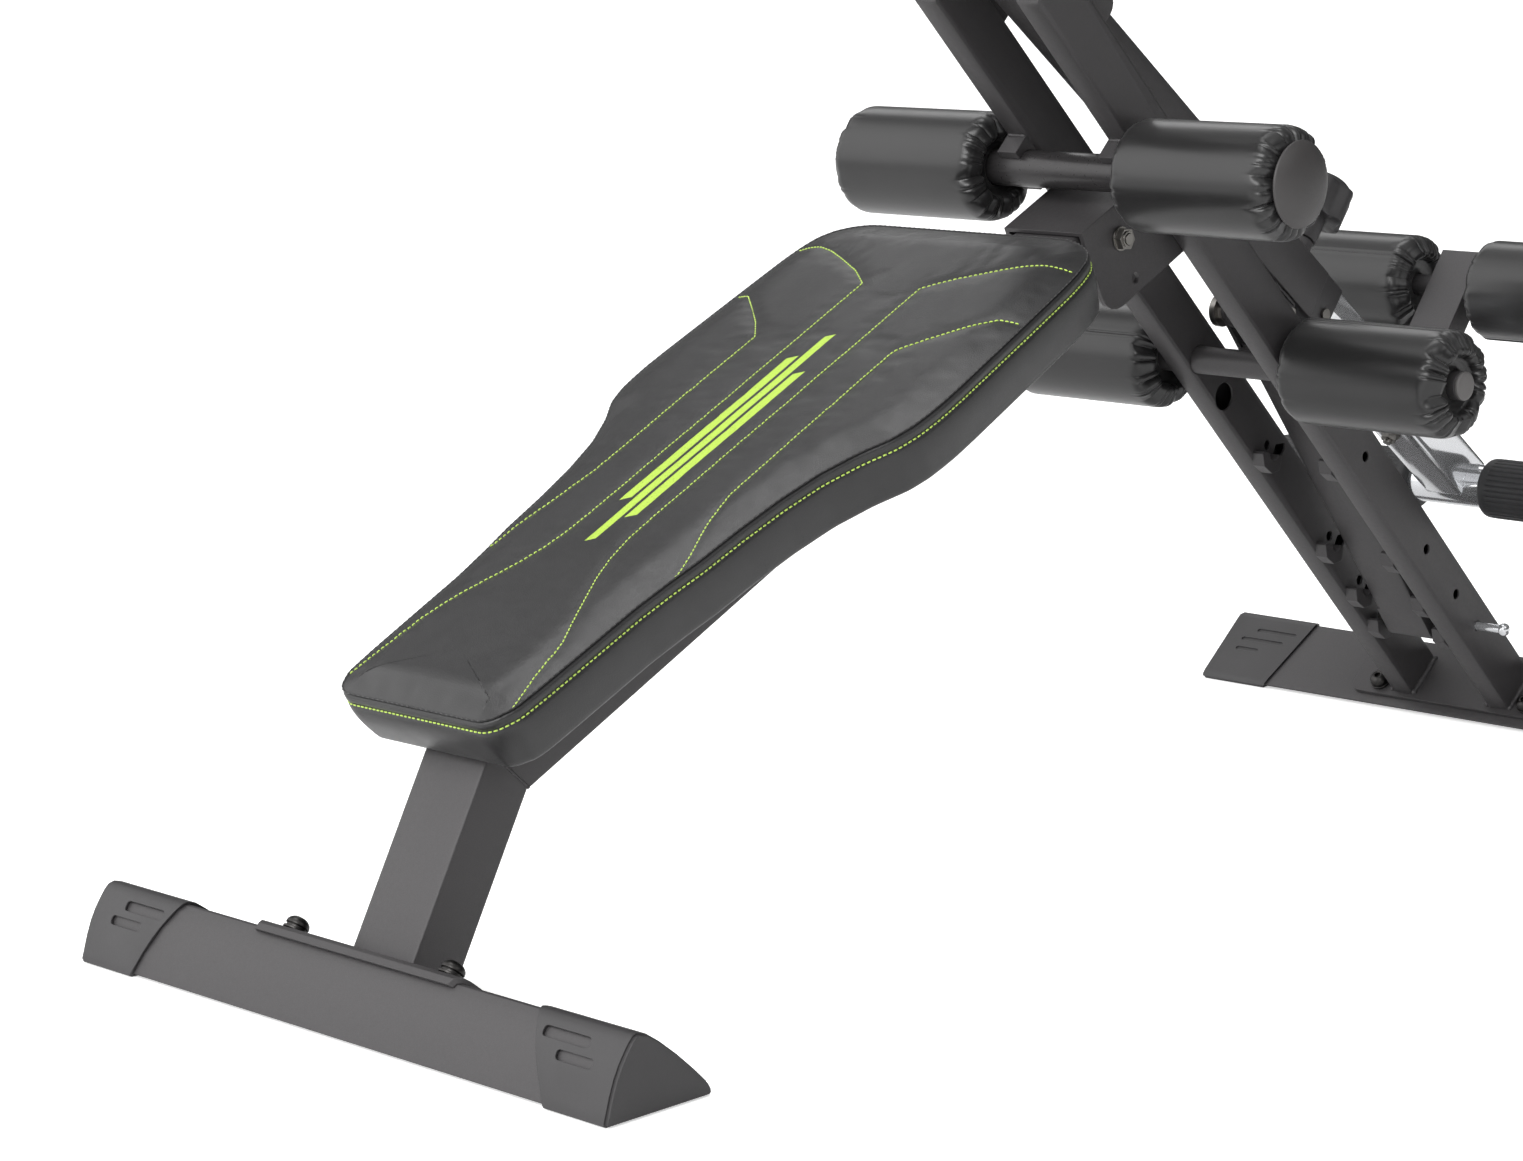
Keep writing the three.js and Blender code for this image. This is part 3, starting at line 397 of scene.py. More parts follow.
def smooth_group():
    """Geometry nodes that weld the mesh and smooth it by angle."""
    group = bpy.data.node_groups.new("smooth_by_angle", "GeometryNodeTree")
    for direction in ("INPUT", "OUTPUT"):
        group.interface.new_socket(
            "Geometry", in_out=direction, socket_type="NodeSocketGeometry")
    source, output, drop_normals, merge, faces, edges, angle, below = (
        group.nodes.new(kind) for kind in (
            "NodeGroupInput", "NodeGroupOutput", "GeometryNodeRemoveAttribute",
            "GeometryNodeMergeByDistance", "GeometryNodeSetShadeSmooth",
            "GeometryNodeSetShadeSmooth", "GeometryNodeInputMeshEdgeAngle",
            "FunctionNodeCompare"))
    drop_normals.inputs["Name"].default_value = "custom_normal"
    merge.inputs["Distance"].default_value = WELD_DISTANCE
    faces.inputs["Shade Smooth"].default_value = True
    edges.domain = "EDGE"
    below.data_type = "FLOAT"
    below.operation = "LESS_THAN"
    below.inputs[1].default_value = math.radians(SMOOTH_BELOW)
    link = group.links.new
    link(source.outputs[0], drop_normals.inputs[0])
    link(drop_normals.outputs[0], merge.inputs[0])
    link(merge.outputs[0], faces.inputs["Geometry"])
    link(faces.outputs[0], edges.inputs["Geometry"])
    link(angle.outputs["Unsigned Angle"], below.inputs[0])
    link(below.outputs[0], edges.inputs["Shade Smooth"])
    link(edges.outputs[0], output.inputs[0])
    return group


def dress_given_pieces():
    group = smooth_group()
    slots = {part["node"]: part["material_slot"] for part in RECORD["subparts"]}
    for node, obj in NODES.items():
        slot = slots[node]
        obj.data.materials.clear()
        obj.data.materials.append(MATERIALS["roll_vinyl" if slot == "pad_vinyl" else slot])
        obj.modifiers.new("smooth", "NODES").node_group = group


dress_given_pieces()


# ---------------------------------------------------------------- mesh helpers
def add_object(name, data):
    obj = bpy.data.objects.new(name, data)
    scene.collection.objects.link(obj)
    return obj


def register(obj, body, replaced=()):
    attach(obj, body)
    if replaced:
        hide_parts(*replaced)


def shade_smooth(mesh):
    mesh.polygons.foreach_set("use_smooth", [True] * len(mesh.polygons))


def add_mesh(name, points, faces, material, body, replaced=(), sharp=None):
    """Smooth-shaded mesh, its faces turned outward; sharp is an angle in degrees."""
    mesh = bpy.data.meshes.new(name)
    mesh.from_pydata([tuple(point) for point in points], [], outward(points, faces))
    mesh.update()
    obj = add_object(name, mesh)
    mesh.materials.append(material)
    shade_smooth(mesh)
    if sharp:
        mesh.set_sharp_from_angle(angle=math.radians(sharp))
    register(obj, body, replaced)


def outward(points, faces):
    """The faces, all reversed if they enclose a negative volume."""
    points = np.array([tuple(point) for point in points])
    volume = 0.0
    for face in faces:
        for i in range(1, len(face) - 1):
            volume += np.dot(points[face[0]], np.cross(points[face[i]], points[face[i + 1]]))
    return faces if volume > 0 else [tuple(reversed(face)) for face in faces]


def ring_faces(rings, count, wrap):
    """Quads joining successive rings of count points; wrap joins the last to the first."""
    faces = []
    for i in range(rings if wrap else rings - 1):
        here, there = i * count, ((i + 1) % rings) * count
        for j in range(count):
            after = (j + 1) % count
            faces.append((here + j, here + after, there + after, there + j))
    return faces


def ring_mesh(rings, wrap):
    """Joins rings into a torus-like skin (wrap) or a tube capped at both ends."""
    count = len(rings[0])
    points = [point for ring in rings for point in ring]
    faces = ring_faces(len(rings), count, wrap)
    if not wrap:
        for ring in (rings[0], rings[-1]):
            points.append(sum((Vector(point) for point in ring), Vector()) / count)
        first_hub, last_hub = len(points) - 2, len(points) - 1
        last = (len(rings) - 1) * count
        for j in range(count):
            after = (j + 1) % count
            faces.append((first_hub, after, j))
            faces.append((last_hub, last + j, last + after))
    return points, faces


def lathe(node, suffix, profile, centre, axis, material, segments, solid=False,
          sharp=32, shape=None):
    """Turned piece that replaces a node.

    The profile holds radius and distance along the axis; centre is in metres. A solid's
    profile runs from axis to axis, any other is a closed loop. The optional shape
    changes the radius from the profile row, radius and angle.
    """
    axis = Vector(axis).normalized()
    side = axis.orthogonal().normalized()
    cross = axis.cross(side)
    rings = []
    for row, (radius, along) in enumerate(profile):
        ring = []
        for step in range(segments):
            angle = 2 * math.pi * step / segments
            reach = shape(row, radius, angle) if shape else radius
            spoke = side * math.cos(angle) + cross * math.sin(angle)
            ring.append(Vector(centre) + spoke * reach / 1000 + axis * along / 1000)
        rings.append(ring)
    points, faces = ring_mesh(rings, wrap=not solid)
    add_mesh(node + suffix, points, faces, MATERIALS[material], BODY[node], (node,), sharp)


def arc(centre_radius, centre_along, radius, start, end, steps):
    """Profile points round an arc; the angles are in degrees."""
    points = []
    for i in range(steps + 1):
        angle = math.radians(start + (end - start) * i / steps)
        points.append((centre_radius + radius * math.cos(angle),
                       centre_along + radius * math.sin(angle)))
    return points


def smoothstep(value, low, high):
    share = np.clip((value - low) / (high - low), 0, 1)
    return share * share * (3 - 2 * share)


def box_span(node):
    """Centre of a node's box, in metres, and its half width in y."""
    low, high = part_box(node)
    return (low + high) / 2, (high.y - low.y) * 500


# ---------------------------------------------------------------- cross bars
BAR_WALL = 2
BAR_CHAMFER = 0.5
BARS = [    # node, radius, material, slot
    # The upper bar wears the frame coat darkened by painted shade.
    ("upper_bar", 16, "shaded_frame_coat", "frame_coat"),
    ("lower_bar", 12.7, "frame_coat", "frame_coat"),
    ("ankle_bar", 10, "frame_coat", "frame_coat"),
    ("foot_bar", 21, "chrome_tube", "chrome_tube"),
]
for node, radius, material, slot in BARS:
    centre, half = box_span(node)
    profile = [
        (radius, -half + BAR_CHAMFER), (radius, half - BAR_CHAMFER),
        (radius - BAR_CHAMFER, half), (radius - BAR_WALL, half),
        (radius - BAR_WALL, -half), (radius - BAR_CHAMFER, -half)]
    lathe(node, "_round", profile, centre, (0, 1, 0), material, segments=96)


# ---------------------------------------------------------------- foam rollers
ROLLER_SEGMENTS = 320
HOLE_RADIUS = 24.5       # edge of the recess in each end
SHOULDER_RADIUS = 37.5   # where the end face starts to turn into the wall
CORNER_WIDTH = 10.1
ROLLER_RADIUS = SHOULDER_RADIUS + CORNER_WIDTH
WALL_MARGIN = 18.5       # straight wall starts this far in from each end
ROLLERS = [    # node, bore radius, seam degrees, seed, gathers at the -y and +y ends, bulge
    ("upper_roller_far", 16.6, 40, 11, (1, 0.5), 0.0),
    ("upper_roller_near", 16.6, 30, 12, (1, 0.35), 0.0),
    ("lower_roller_far", 13.3, 150, 13, (1, 0.5), 2.6),
    ("lower_roller_near", 13.3, 96, 14, (1.15, 0.3), 2.6),
    ("ankle_roller_far", 10.6, 138, 15, (0.8, 0.6), 2.6),
    ("ankle_roller_near", 10.6, 250, 16, (1, 0.35), 2.6),
]


def roller_end(bore, strength, bulge):
    """Radius and distance in from the end, from the bore out to the wall."""
    points = [
        (bore, 7.5), (HOLE_RADIUS - 3, 8.0), (HOLE_RADIUS - 0.6, 7.2),
        (HOLE_RADIUS + 0.3, 5.0), (HOLE_RADIUS + 1.6, 2.2 - bulge * 0.5),
        (HOLE_RADIUS + 4, 0.4 - bulge), (30.5, -0.4 - bulge * 1.1),
        (34, 0.2 - bulge * 0.8), (SHOULDER_RADIUS, 1.6 - bulge * 0.35)]
    corner_depth = 9 + 5 * min(1.0, strength)
    for degrees in (14, 26, 38, 50, 62, 74, 84, 90):
        angle = math.radians(degrees)
        points.append((SHOULDER_RADIUS + CORNER_WIDTH * math.sin(angle),
                       1.6 + corner_depth * (1 - math.cos(angle))))
    return points


def draw_gathers(draw):
    """Angle, size and reach of the gathers at one end."""
    count = int(draw.integers(21, 25))
    angles = np.sort((np.arange(count) + draw.uniform(-.36, .36, count)) / count * 2 * np.pi)
    size = draw.uniform(.5, 1.45, count)
    reach = draw.uniform(4, 17, count)
    draw.uniform(-.05, .05, count)    # spare draw that keeps the later ones in sequence
    return angles, size, reach


def gather_relief(gathers, angles, radius, inward, strength):
    """Outward push of the puffs between gathers, at a distance inward from the end."""
    starts, size, reach = gathers
    here = (np.searchsorted(starts, angles) - 1) % len(starts)
    after = (here + 1) % len(starts)
    width = (starts[after] - starts[here]) % (2 * np.pi)
    share = ((angles - starts[here]) % (2 * np.pi)) / width
    skewed = np.clip(share, 0, 1) ** (1 + .9 * np.sin(here * 2.4))
    split = .28 * np.exp(-((skewed - .5) / .10) ** 2) * (np.sin(here * 5.1) > -.1)
    ridge = np.abs(np.sin(np.pi * skewed)) ** .55 - split
    local_size = size[here] * (1 - share) + size[after] * share
    local_reach = reach[here] * (1 - share) + reach[after] * share
    along = (1 - smoothstep(inward, local_reach * .3, local_reach + 7)) * strength
    inner = smoothstep(radius, HOLE_RADIUS - 1.5, HOLE_RADIUS + 5) if radius < 40 else 1.0
    end_face = .62 + .38 * (radius < 46.5)
    return (ridge - .70) * 4.3 * local_size * along * inner * end_face


def seam_relief(offset, radius):
    """Groove and lips of the lengthwise seam; offset is the distance round from it."""
    if radius <= 30:
        return 0
    return (-1.5 * np.exp(-(offset / .9) ** 2) + .9 * np.exp(-((offset - 2.2) / 1.5) ** 2)
            + .35 * np.exp(-((offset + 3) / 2.5) ** 2))


def roller(node, bore, seam_degrees, seed, strengths, bulge):
    """Vinyl cover gathered at both ends."""
    draw = np.random.default_rng(seed)
    centre, half = box_span(node)
    low_end, high_end = (roller_end(bore, strength, bulge) for strength in strengths)
    wall = np.linspace(-half + WALL_MARGIN, half - WALL_MARGIN, 32)
    profile = np.array(
        [(radius, -half + inward) for radius, inward in low_end]
        + [(ROLLER_RADIUS, y) for y in wall]
        + [(radius, half - inward) for radius, inward in reversed(high_end)])
    angles = np.linspace(0, 2 * np.pi, ROLLER_SEGMENTS, endpoint=False)
    ends = [draw_gathers(draw), draw_gathers(draw)]
    waviness = sum(draw.uniform(.1, .3) * np.cos(waves * angles + draw.uniform(0, 6.28))
                   for waves in (2, 3, 5))
    from_seam = (angles - math.radians(seam_degrees) + np.pi) % (2 * np.pi) - np.pi
    rings = []
    for i, (radius, y) in enumerate(profile):
        side = 0 if y < 0 else 1
        relief = (gather_relief(ends[side], angles, radius, half - abs(y), strengths[side])
                  + seam_relief(from_seam * radius, radius)
                  + waviness * (1.0 if radius > 46 else .3) * .5)
        if radius <= bore + .01:
            relief = np.zeros(ROLLER_SEGMENTS)
        # The relief acts along the profile's normal.
        d_radius, d_y = profile[min(i + 1, len(profile) - 1)] - profile[max(i - 1, 0)]
        length = math.hypot(d_radius, d_y) or 1
        radii = radius + d_y / length * relief
        ys = y + -d_radius / length * relief
        rings.append([
            Vector((centre.x + radii[j] / 1000 * math.cos(angles[j]),
                    centre.y + ys[j] / 1000,
                    centre.z + radii[j] / 1000 * math.sin(angles[j])))
            for j in range(ROLLER_SEGMENTS)])
    points, faces = ring_mesh(rings, wrap=True)
    add_mesh(node + "_cover", points, faces, MATERIALS["roll_vinyl"], BODY[node], (node,))


for settings in ROLLERS:
    roller(*settings)


# ---------------------------------------------------------------- end discs, plugs, sleeves
PLUG_RADIUS = 12.7
PLUG_STEMS = (("lower_cap_", 10.3), ("ankle_cap_", 7.6))    # node, stem radius
SLEEVE_RADIUS = 29.0
SLEEVE_BORE = 21.4
SLEEVE_RIBS = 34
RIBBED_ROWS = (7, 8)     # sleeve profile rows that carry the ribs


def outer_end(node, side):
    """A node's outer end in y, and the point on the y = 0 plane level with its centre."""
    low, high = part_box(node)
    centre = (low + high) / 2
    end = (high.y if side > 0 else -low.y) * 1000
    return end, Vector((centre.x, 0, centre.z))


def end_disc(node, side):
    end, base = outer_end(node, side)
    profile = [
        (0.3, end - 29), (13.4, end - 29), (13.5, end - 10.7), (34.6, end - 10.7),
        *arc(34.4, end - 9.2, 1.6, -60, 60, 6),
        (33.2, end - 6.6), (30.5, end - 5.0), (26, end - 3.2), (20, end - 1.7),
        (13, end - 0.7), (6, end - 0.15), (0.3, end)]
    lathe(node, "_round", profile, base, (0, side, 0), "end_disc",
          segments=128, solid=True, sharp=50)


def tube_plug(node, side, stem):
    end, base = outer_end(node, side)
    profile = [
        (0.3, end - 19), (stem, end - 19), (stem, end - 3.9),
        (PLUG_RADIUS - 0.3, end - 3.9), (PLUG_RADIUS, end - 3.5), (PLUG_RADIUS, end - 2.2),
        *arc(PLUG_RADIUS - 1.8, end - 2, 1.8, 10, 80, 6),
        (8, end - 0.15), (0.3, end)]
    lathe(node, "_round", profile, base, (0, side, 0), "plug",
          segments=80, solid=True, sharp=50)


def sleeve_ribs(row, radius, angle):
    """Cuts the grooves between the ribs."""
    if row not in RIBBED_ROWS:
        return radius
    phase = (angle * SLEEVE_RIBS / (2 * math.pi)) % 1
    return radius - 1.5 * math.exp(-((phase - .5) / .17) ** 4)


def foot_sleeve(node, side):
    low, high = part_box(node)
    centre = (low + high) / 2
    start, end = sorted((abs(low.y) * 1000, abs(high.y) * 1000))
    profile = [
        (SLEEVE_BORE, start), (26.2, start), (27.4, start + 0.6), (28.2, start + 1.6),
        (28.7, start + 3), (28.9, start + 7), (28.9, start + 9.5),
        (SLEEVE_RADIUS, start + 11), (SLEEVE_RADIUS, end - 12),
        (29.1, end - 10), (29.2, end - 4), (28.8, end - 2), (27.6, end - 0.6), (26, end),
        (0.4, end), (0.4, end - 3.4), (SLEEVE_BORE, end - 3.6)]
    lathe(node, "_ribbed", profile, Vector((centre.x, 0, centre.z)), (0, side, 0),
          "grip_rubber", segments=SLEEVE_RIBS * 12, sharp=40, shape=sleeve_ribs)


for side_name, side in SIDES:
    end_disc("upper_cap_" + side_name, side)
    for prefix, stem in PLUG_STEMS:
        tube_plug(prefix + side_name, side, stem)
    foot_sleeve("foot_sleeve_" + side_name, side)


# ---------------------------------------------------------------- button-head bolts
BOLT_HEAD_DEPTH = 0.0116     # metres from the head's top to the plane under the washer
SOCKET_ACROSS_FLATS = 6.2
BOLT_PROFILE = [
    (0.2, -16), (3.9, -16), (3.9, 0),                                 # shank
    (9.6, 0), (10, 0.4), (10, 1.8), (9.6, 2.2), (8.0, 2.25),          # wide washer
    (8.1, 2.6), (8.1, 4.0), (7.9, 4.35),                              # narrow washer
    (9.1, 4.4), (9.5, 4.8), (9.5, 5.4),                               # rim of the head
    *((9.5 * math.cos(math.radians(degrees)), 5.4 + 6.9 * math.sin(math.radians(degrees)))
      for degrees in (12, 24, 36, 48, 58)),                           # dome
    (4.6, 11.4), (4.1, 11.3), (3.6, 10.9), (3.55, 8.0), (0.2, 7.6),   # socket
]
HEX_ROWS = (len(BOLT_PROFILE) - 3, len(BOLT_PROFILE) - 2)


def hex_socket(row, radius, angle):
    if row not in HEX_ROWS:
        return radius
    from_flat = (angle % (math.pi / 3)) - math.pi / 6
    return SOCKET_ACROSS_FLATS / 2 / math.cos(from_flat)


def foot_bolt(node, lean):
    """Bolt square to its foot plate; lean is 1 when its head tips toward +x."""
    slope = math.radians(SLOPE_ANGLE)
    axis = Vector((math.sin(slope) * lean, 0, math.cos(slope)))
    points = vertex_array(NODES[node])
    along = points @ np.array(axis)
    across = points - np.outer(along, np.array(axis))
    centre = (across.max(0) + across.min(0)) / 2
    base = Vector(centre) + axis * (along.max() - BOLT_HEAD_DEPTH)
    lathe(node, "_head", BOLT_PROFILE, base, axis, "fastener_black",
          segments=60, solid=True, sharp=30, shape=hex_socket)


for end_name, lean in (("front", 1), ("rear", -1)):
    for side_name, _ in SIDES:
        foot_bolt(f"{end_name}_bolt_{side_name}", lean)


# ---------------------------------------------------------------- weld beads
BEAD_STEP = 0.8          # distance between the rings of a bead
BEAD_SIDES = 9
PLATE_TOP = 71.65        # height of the foot plates above the origin, square to them
REAR_EDGE = 1513.2       # the rear plate mirrors the front one from this distance back
MITRE_ANGLE = 42         # degrees, tilt of the plane where post and beam meet
MITRE_OFFSET = 237.4
RAIL_UNDER, RAIL_OVER = 1018.0, 1068.8    # the rails' faces, in the rail frame
SEAT_CENTRE, SEAT_HALF = 187.9, 24        # upper bar seats, along the rail
TUBE_TOP, TUBE_UNDER = 1091.8, 1041.2     # faces with welds, in the tube frame
BOSS_ALONG, BOSS_RADIUS = 620, 11.4
LUG_ALONG, LUG_HALF, LUG_Y = 605, 20, 20.3


def bead(name, points, radius, body, closed=False, pitch=2.4):
    """Rippled bead along a path; pitch is the length of one ripple."""
    path = [Vector(point) for point in points]
    if closed:
        path.append(path[0])
    lengths = [(path[i + 1] - path[i]).length for i in range(len(path) - 1)]
    total = sum(lengths)
    count = max(8, int(total * 1000 / BEAD_STEP))

    def at(distance):
        for i, length in enumerate(lengths):
            if distance <= length or i == len(lengths) - 1:
                place = path[i].lerp(path[i + 1], min(1, distance / length))
                return place, (path[i + 1] - path[i]).normalized()
            distance -= length

    rings = []
    for i in range(count if closed else count + 1):
        travelled = total * i / count
        centre, along = at(travelled)
        reference = Vector((0, 0, 1)) if abs(along.z) < .95 else Vector((0, 1, 0))
        up = (reference - along * reference.dot(along)).normalized()
        cross = along.cross(up)
        phase = (travelled * 1000 / pitch) % 1
        ripple = .86 + .26 * math.sin(math.pi * phase) ** .7
        uneven = 1 + .10 * math.sin(travelled * 313 + len(name)) + .06 * math.sin(travelled * 811)
        size = radius * ripple * uneven
        if not closed:
            size *= min(1, .35 + i / 4, .35 + (count - i) / 4)
        ring = []
        for j in range(BEAD_SIDES):
            angle = 2 * math.pi * j / BEAD_SIDES
            ring.append(centre + (up * math.cos(angle) + cross * math.sin(angle)) * size / 1000)
        rings.append(ring)
    points, faces = ring_mesh(rings, wrap=closed)
    add_mesh(name, points, faces, MATERIALS["frame_coat"], body, ())


def post_loop(low, high, half_width, degrees, offset):
    """The post's four edges where they meet a plane tilted by degrees."""
    tilt = math.radians(degrees)
    normal_x, normal_z = math.sin(tilt), math.cos(tilt)
    corners = []
    for x, y in ((low, -half_width), (low, half_width), (high, half_width), (high, -half_width)):
        height = ((offset - x * (POST.cos * normal_x - POST.sin * normal_z))
                  / (POST.sin * normal_x + POST.cos * normal_z))
        corners.append(POST(x, y, height))
    return corners


def rail_on_plate(height, y):
    """Where a line along the rail, at a height in the rail frame, meets the rear plate."""
    cos, sin = math.cos(math.radians(SLOPE_ANGLE)), math.sin(math.radians(SLOPE_ANGLE))
    x_plus_z = height * math.sqrt(2)
    x = (REAR_EDGE * sin + x_plus_z * cos - PLATE_TOP) / (sin + cos)
    return LEVEL(x, y, x_plus_z - x)


SIDE_BEADS = [    # name, frame, start, end, radius; y is for the far side
    ("weld_bracket_", BENCH, (1077.5, 43.3, 121.0), (1093, 43.3, 76), 1.6),
    *((name, RAIL, (along, 46, RAIL_UNDER), (along, 66, RAIL_UNDER), 1.9)
      for name, along in (("weld_seat_a_", SEAT_CENTRE - SEAT_HALF),
                          ("weld_seat_b_", SEAT_CENTRE + SEAT_HALF))),
    ("weld_ear_", RAIL, (0, 57.9, 1068.6), (78, 57.9, 1068.6), 1.8),
    ("weld_ear_in_", RAIL, (0, 52.1, 1068.6), (78, 52.1, 1068.6), 1.8),
]

bead("weld_post_foot", post_loop(26.2, 75.8, 35.6, SLOPE_ANGLE, PLATE_TOP), 2.6, "bench",
     closed=True)
bead("weld_mitre", post_loop(25.6, 74.8, 34.6, MITRE_ANGLE, MITRE_OFFSET), 1.25, "bench",
     closed=True, pitch=3.2)
for side_name, side in SIDES:
    inner = [rail_on_plate(height, 43.1 * side) for height in (RAIL_OVER, RAIL_UNDER)]
    outer = [rail_on_plate(height, 69.0 * side) for height in (RAIL_UNDER, RAIL_OVER)]
    bead("weld_rail_in_" + side_name, inner, 2.9, "tower", pitch=2.8)
    bead("weld_rail_out_" + side_name, outer, 2.5, "tower", pitch=2.8)
    for name, tilted, *ends, radius in SIDE_BEADS:
        path = [tilted(along, y * side, height) for along, y, height in ends]
        bead(name + side_name, path, radius, "tower")
for name, along, radius in (("weld_hip_plate_a", 45, 1.7), ("weld_hip_plate_b", 104, 1.9)):
    bead(name, [TUBE(along, y, TUBE_TOP) for y in (-24, 24)], radius, "tube")
boss_ring = [
    TUBE(BOSS_ALONG + BOSS_RADIUS * math.cos(math.radians(degrees)),
         BOSS_RADIUS * math.sin(math.radians(degrees)), TUBE_TOP)
    for degrees in range(0, 360, 15)]
bead("weld_boss", boss_ring, 1.3, "tube", closed=True)
for side_name, side in SIDES:
    path = [TUBE(LUG_ALONG + x, LUG_Y * side, TUBE_UNDER) for x in (-LUG_HALF, LUG_HALF)]
    bead("weld_lug_" + side_name, path, 1.6, "tube")


# ---------------------------------------------------------------- bench pad: shape
# In the bench frame s runs up the pad from its low end, and height is square to it.
def pad_rim(points):
    """The given pad's rim on the far side, as rows ordered by s."""
    rim = points[(points[:, 2] > 160) & (points[:, 2] < 168)]
    rim = rim[rim[:, 1] > 0]
    return rim[np.argsort(rim[:, 0])]


GIVEN_PAD = BENCH.local(vertex_array(NODES["pad"]))
RIM = pad_rim(GIVEN_PAD)
PAD_START, PAD_END = RIM[:, 0].min(), RIM[:, 0].max()
PAD_TOP, PAD_BOTTOM = GIVEN_PAD[:, 2].max(), GIVEN_PAD[:, 2].min()
HEM = 4.3                        # how far the cover reaches below the given pad
UNDERSIDE = PAD_BOTTOM - HEM
EDGE_SEAM = PAD_TOP - 9.2        # height of the seam round the top panel
BAND_SEAM = PAD_TOP - 17.4       # height of the lime seam round the side
ROLL_INSET = 21.5                # inset where the top panel's own rings begin

# Seams across the top panel on the far side, mirrored to the near side: s, y.
INNER_SEAM = [
    (203, 92), (222, 88), (240, 84), (276, 78), (314, 62), (352, 45), (376, 37), (400, 33),
    (430, 32), (770, 32), (788, 55), (807, 90), (815, 106), (820, 124), (822, 142), (823, 158)]
OUTER_SEAM = [
    (345, 112), (349, 110), (372, 104), (400, 98), (436, 86), (475, 78), (500, 77.5),
    (680, 77), (701, 95), (720, 116), (740, 139), (743, 152), (743.5, 166)]
SEAM_STEP = 2.0

# The cover's side from the underside up over both seams: inset, height.
PAD_SIDE = [
    (16, UNDERSIDE), (11, UNDERSIDE), (7, UNDERSIDE + 0.15), (4.4, UNDERSIDE + 0.5),
    (2.5, UNDERSIDE + 1.2), (1.2, UNDERSIDE + 2.5), (0.4, UNDERSIDE + 4.6), (0, UNDERSIDE + 8),
    (-0.5, PAD_BOTTOM + 9), (-1.1, PAD_BOTTOM + 16), (-1.3, PAD_BOTTOM + 22),
    (-1.0, BAND_SEAM - 10), (-0.5, BAND_SEAM - 5), (0.1, BAND_SEAM - 2.2),
    (1.1, BAND_SEAM - 0.8), (1.3, BAND_SEAM), (1.0, BAND_SEAM + 0.9), (0.2, BAND_SEAM + 2.4),
    (0, EDGE_SEAM - 2.8), (0.4, EDGE_SEAM - 1.4), (1.9, EDGE_SEAM - 0.6), (2.9, EDGE_SEAM),
    (2.0, EDGE_SEAM + 0.6), (0.7, EDGE_SEAM + 1.3), (0.8, EDGE_SEAM + 2.2)]
ROLLED_EDGE_INSETS = (1.4, 2.2, 3.4, 5, 7.2, 10, 13.4, 17.3)


def arc_length(x, y):
    return np.r_[0, np.cumsum(np.hypot(np.diff(x), np.diff(y)))]


def resample(x, y, length, distances):
    return np.interp(distances, length, x), np.interp(distances, length, y)


def densify(seam):
    s, y = np.array(seam, float).T
    length = arc_length(s, y)
    return np.stack(resample(s, y, length, np.arange(0, length[-1], SEAM_STEP)), 1)


def plan_tree(points):
    """Search tree over s and y only."""
    tree = KDTree(len(points))
    for i, point in enumerate(points):
        tree.insert((point[0], point[1], 0), i)
    tree.balance()
    return tree


SEAMS = {"inner": densify(INNER_SEAM), "outer": densify(OUTER_SEAM)}
SEAM_TREES = [plan_tree(seam) for seam in SEAMS.values()]


def seam_distance(s, y):
    return min(tree.find((s, abs(y), 0))[2] for tree in SEAM_TREES)


def half_width(s):
    return np.interp(s, RIM[:, 0], RIM[:, 1])


def outline(count):
    """count points round the pad, even in length: s, y and the outward normal's s, y."""
    s, y = np.r_[PAD_START, RIM[:, 0], PAD_END], np.r_[0.0, RIM[:, 1], 0.0]
    length = arc_length(s, y)
    s, y = resample(s, y, length, np.linspace(0, length[-1], 2400))
    # Mirror the half so that the smoothing rounds both ends evenly.
    s, y = np.r_[s[::-1][:-1], s], np.r_[-y[::-1][:-1], y]
    window = 60
    kernel = np.exp(-(np.arange(-window, window + 1) / 12.0) ** 2)
    kernel /= kernel.sum()

    def smooth(values):
        looped = np.r_[values[-window - 1:-1], values, values[1:window + 1]]
        return np.convolve(looped, kernel, "same")[window:-window]

    middle = len(s) // 2
    s, y = smooth(s)[middle:], np.clip(smooth(y)[middle:], 0, None)
    y[0] = y[-1] = 0
    length = arc_length(s, y)
    half = count // 2
    s, y = resample(s, y, length, np.linspace(0, length[-1], half + 1))
    s, y = np.r_[s, s[::-1][1:-1]], np.r_[y, -y[::-1][1:-1]]
    ds, dy = np.roll(s, -1) - np.roll(s, 1), np.roll(y, -1) - np.roll(y, 1)
    span = np.hypot(ds, dy)
    normal_s, normal_y = dy / span, -ds / span
    sign = 1 if normal_y[half // 2] * y[half // 2] > 0 else -1
    return s, y, normal_s * sign, normal_y * sign


def spine(loop):
    """For each outline point, the s on the centre line that it closes in on."""
    return np.clip(loop[0], PAD_START + 62, PAD_END - 118)


def ring_at(loop, inset, share=0):
    """The outline moved in by inset, then a share of the way to the spine."""
    s, y, normal_s, normal_y = loop
    return ((s - normal_s * inset) * (1 - share) + spine(loop) * share,
            (y - normal_y * inset) * (1 - share))


def with_height(ring, height):
    s, y = ring
    return np.stack([s, y, np.broadcast_to(height, s.shape)], 1)


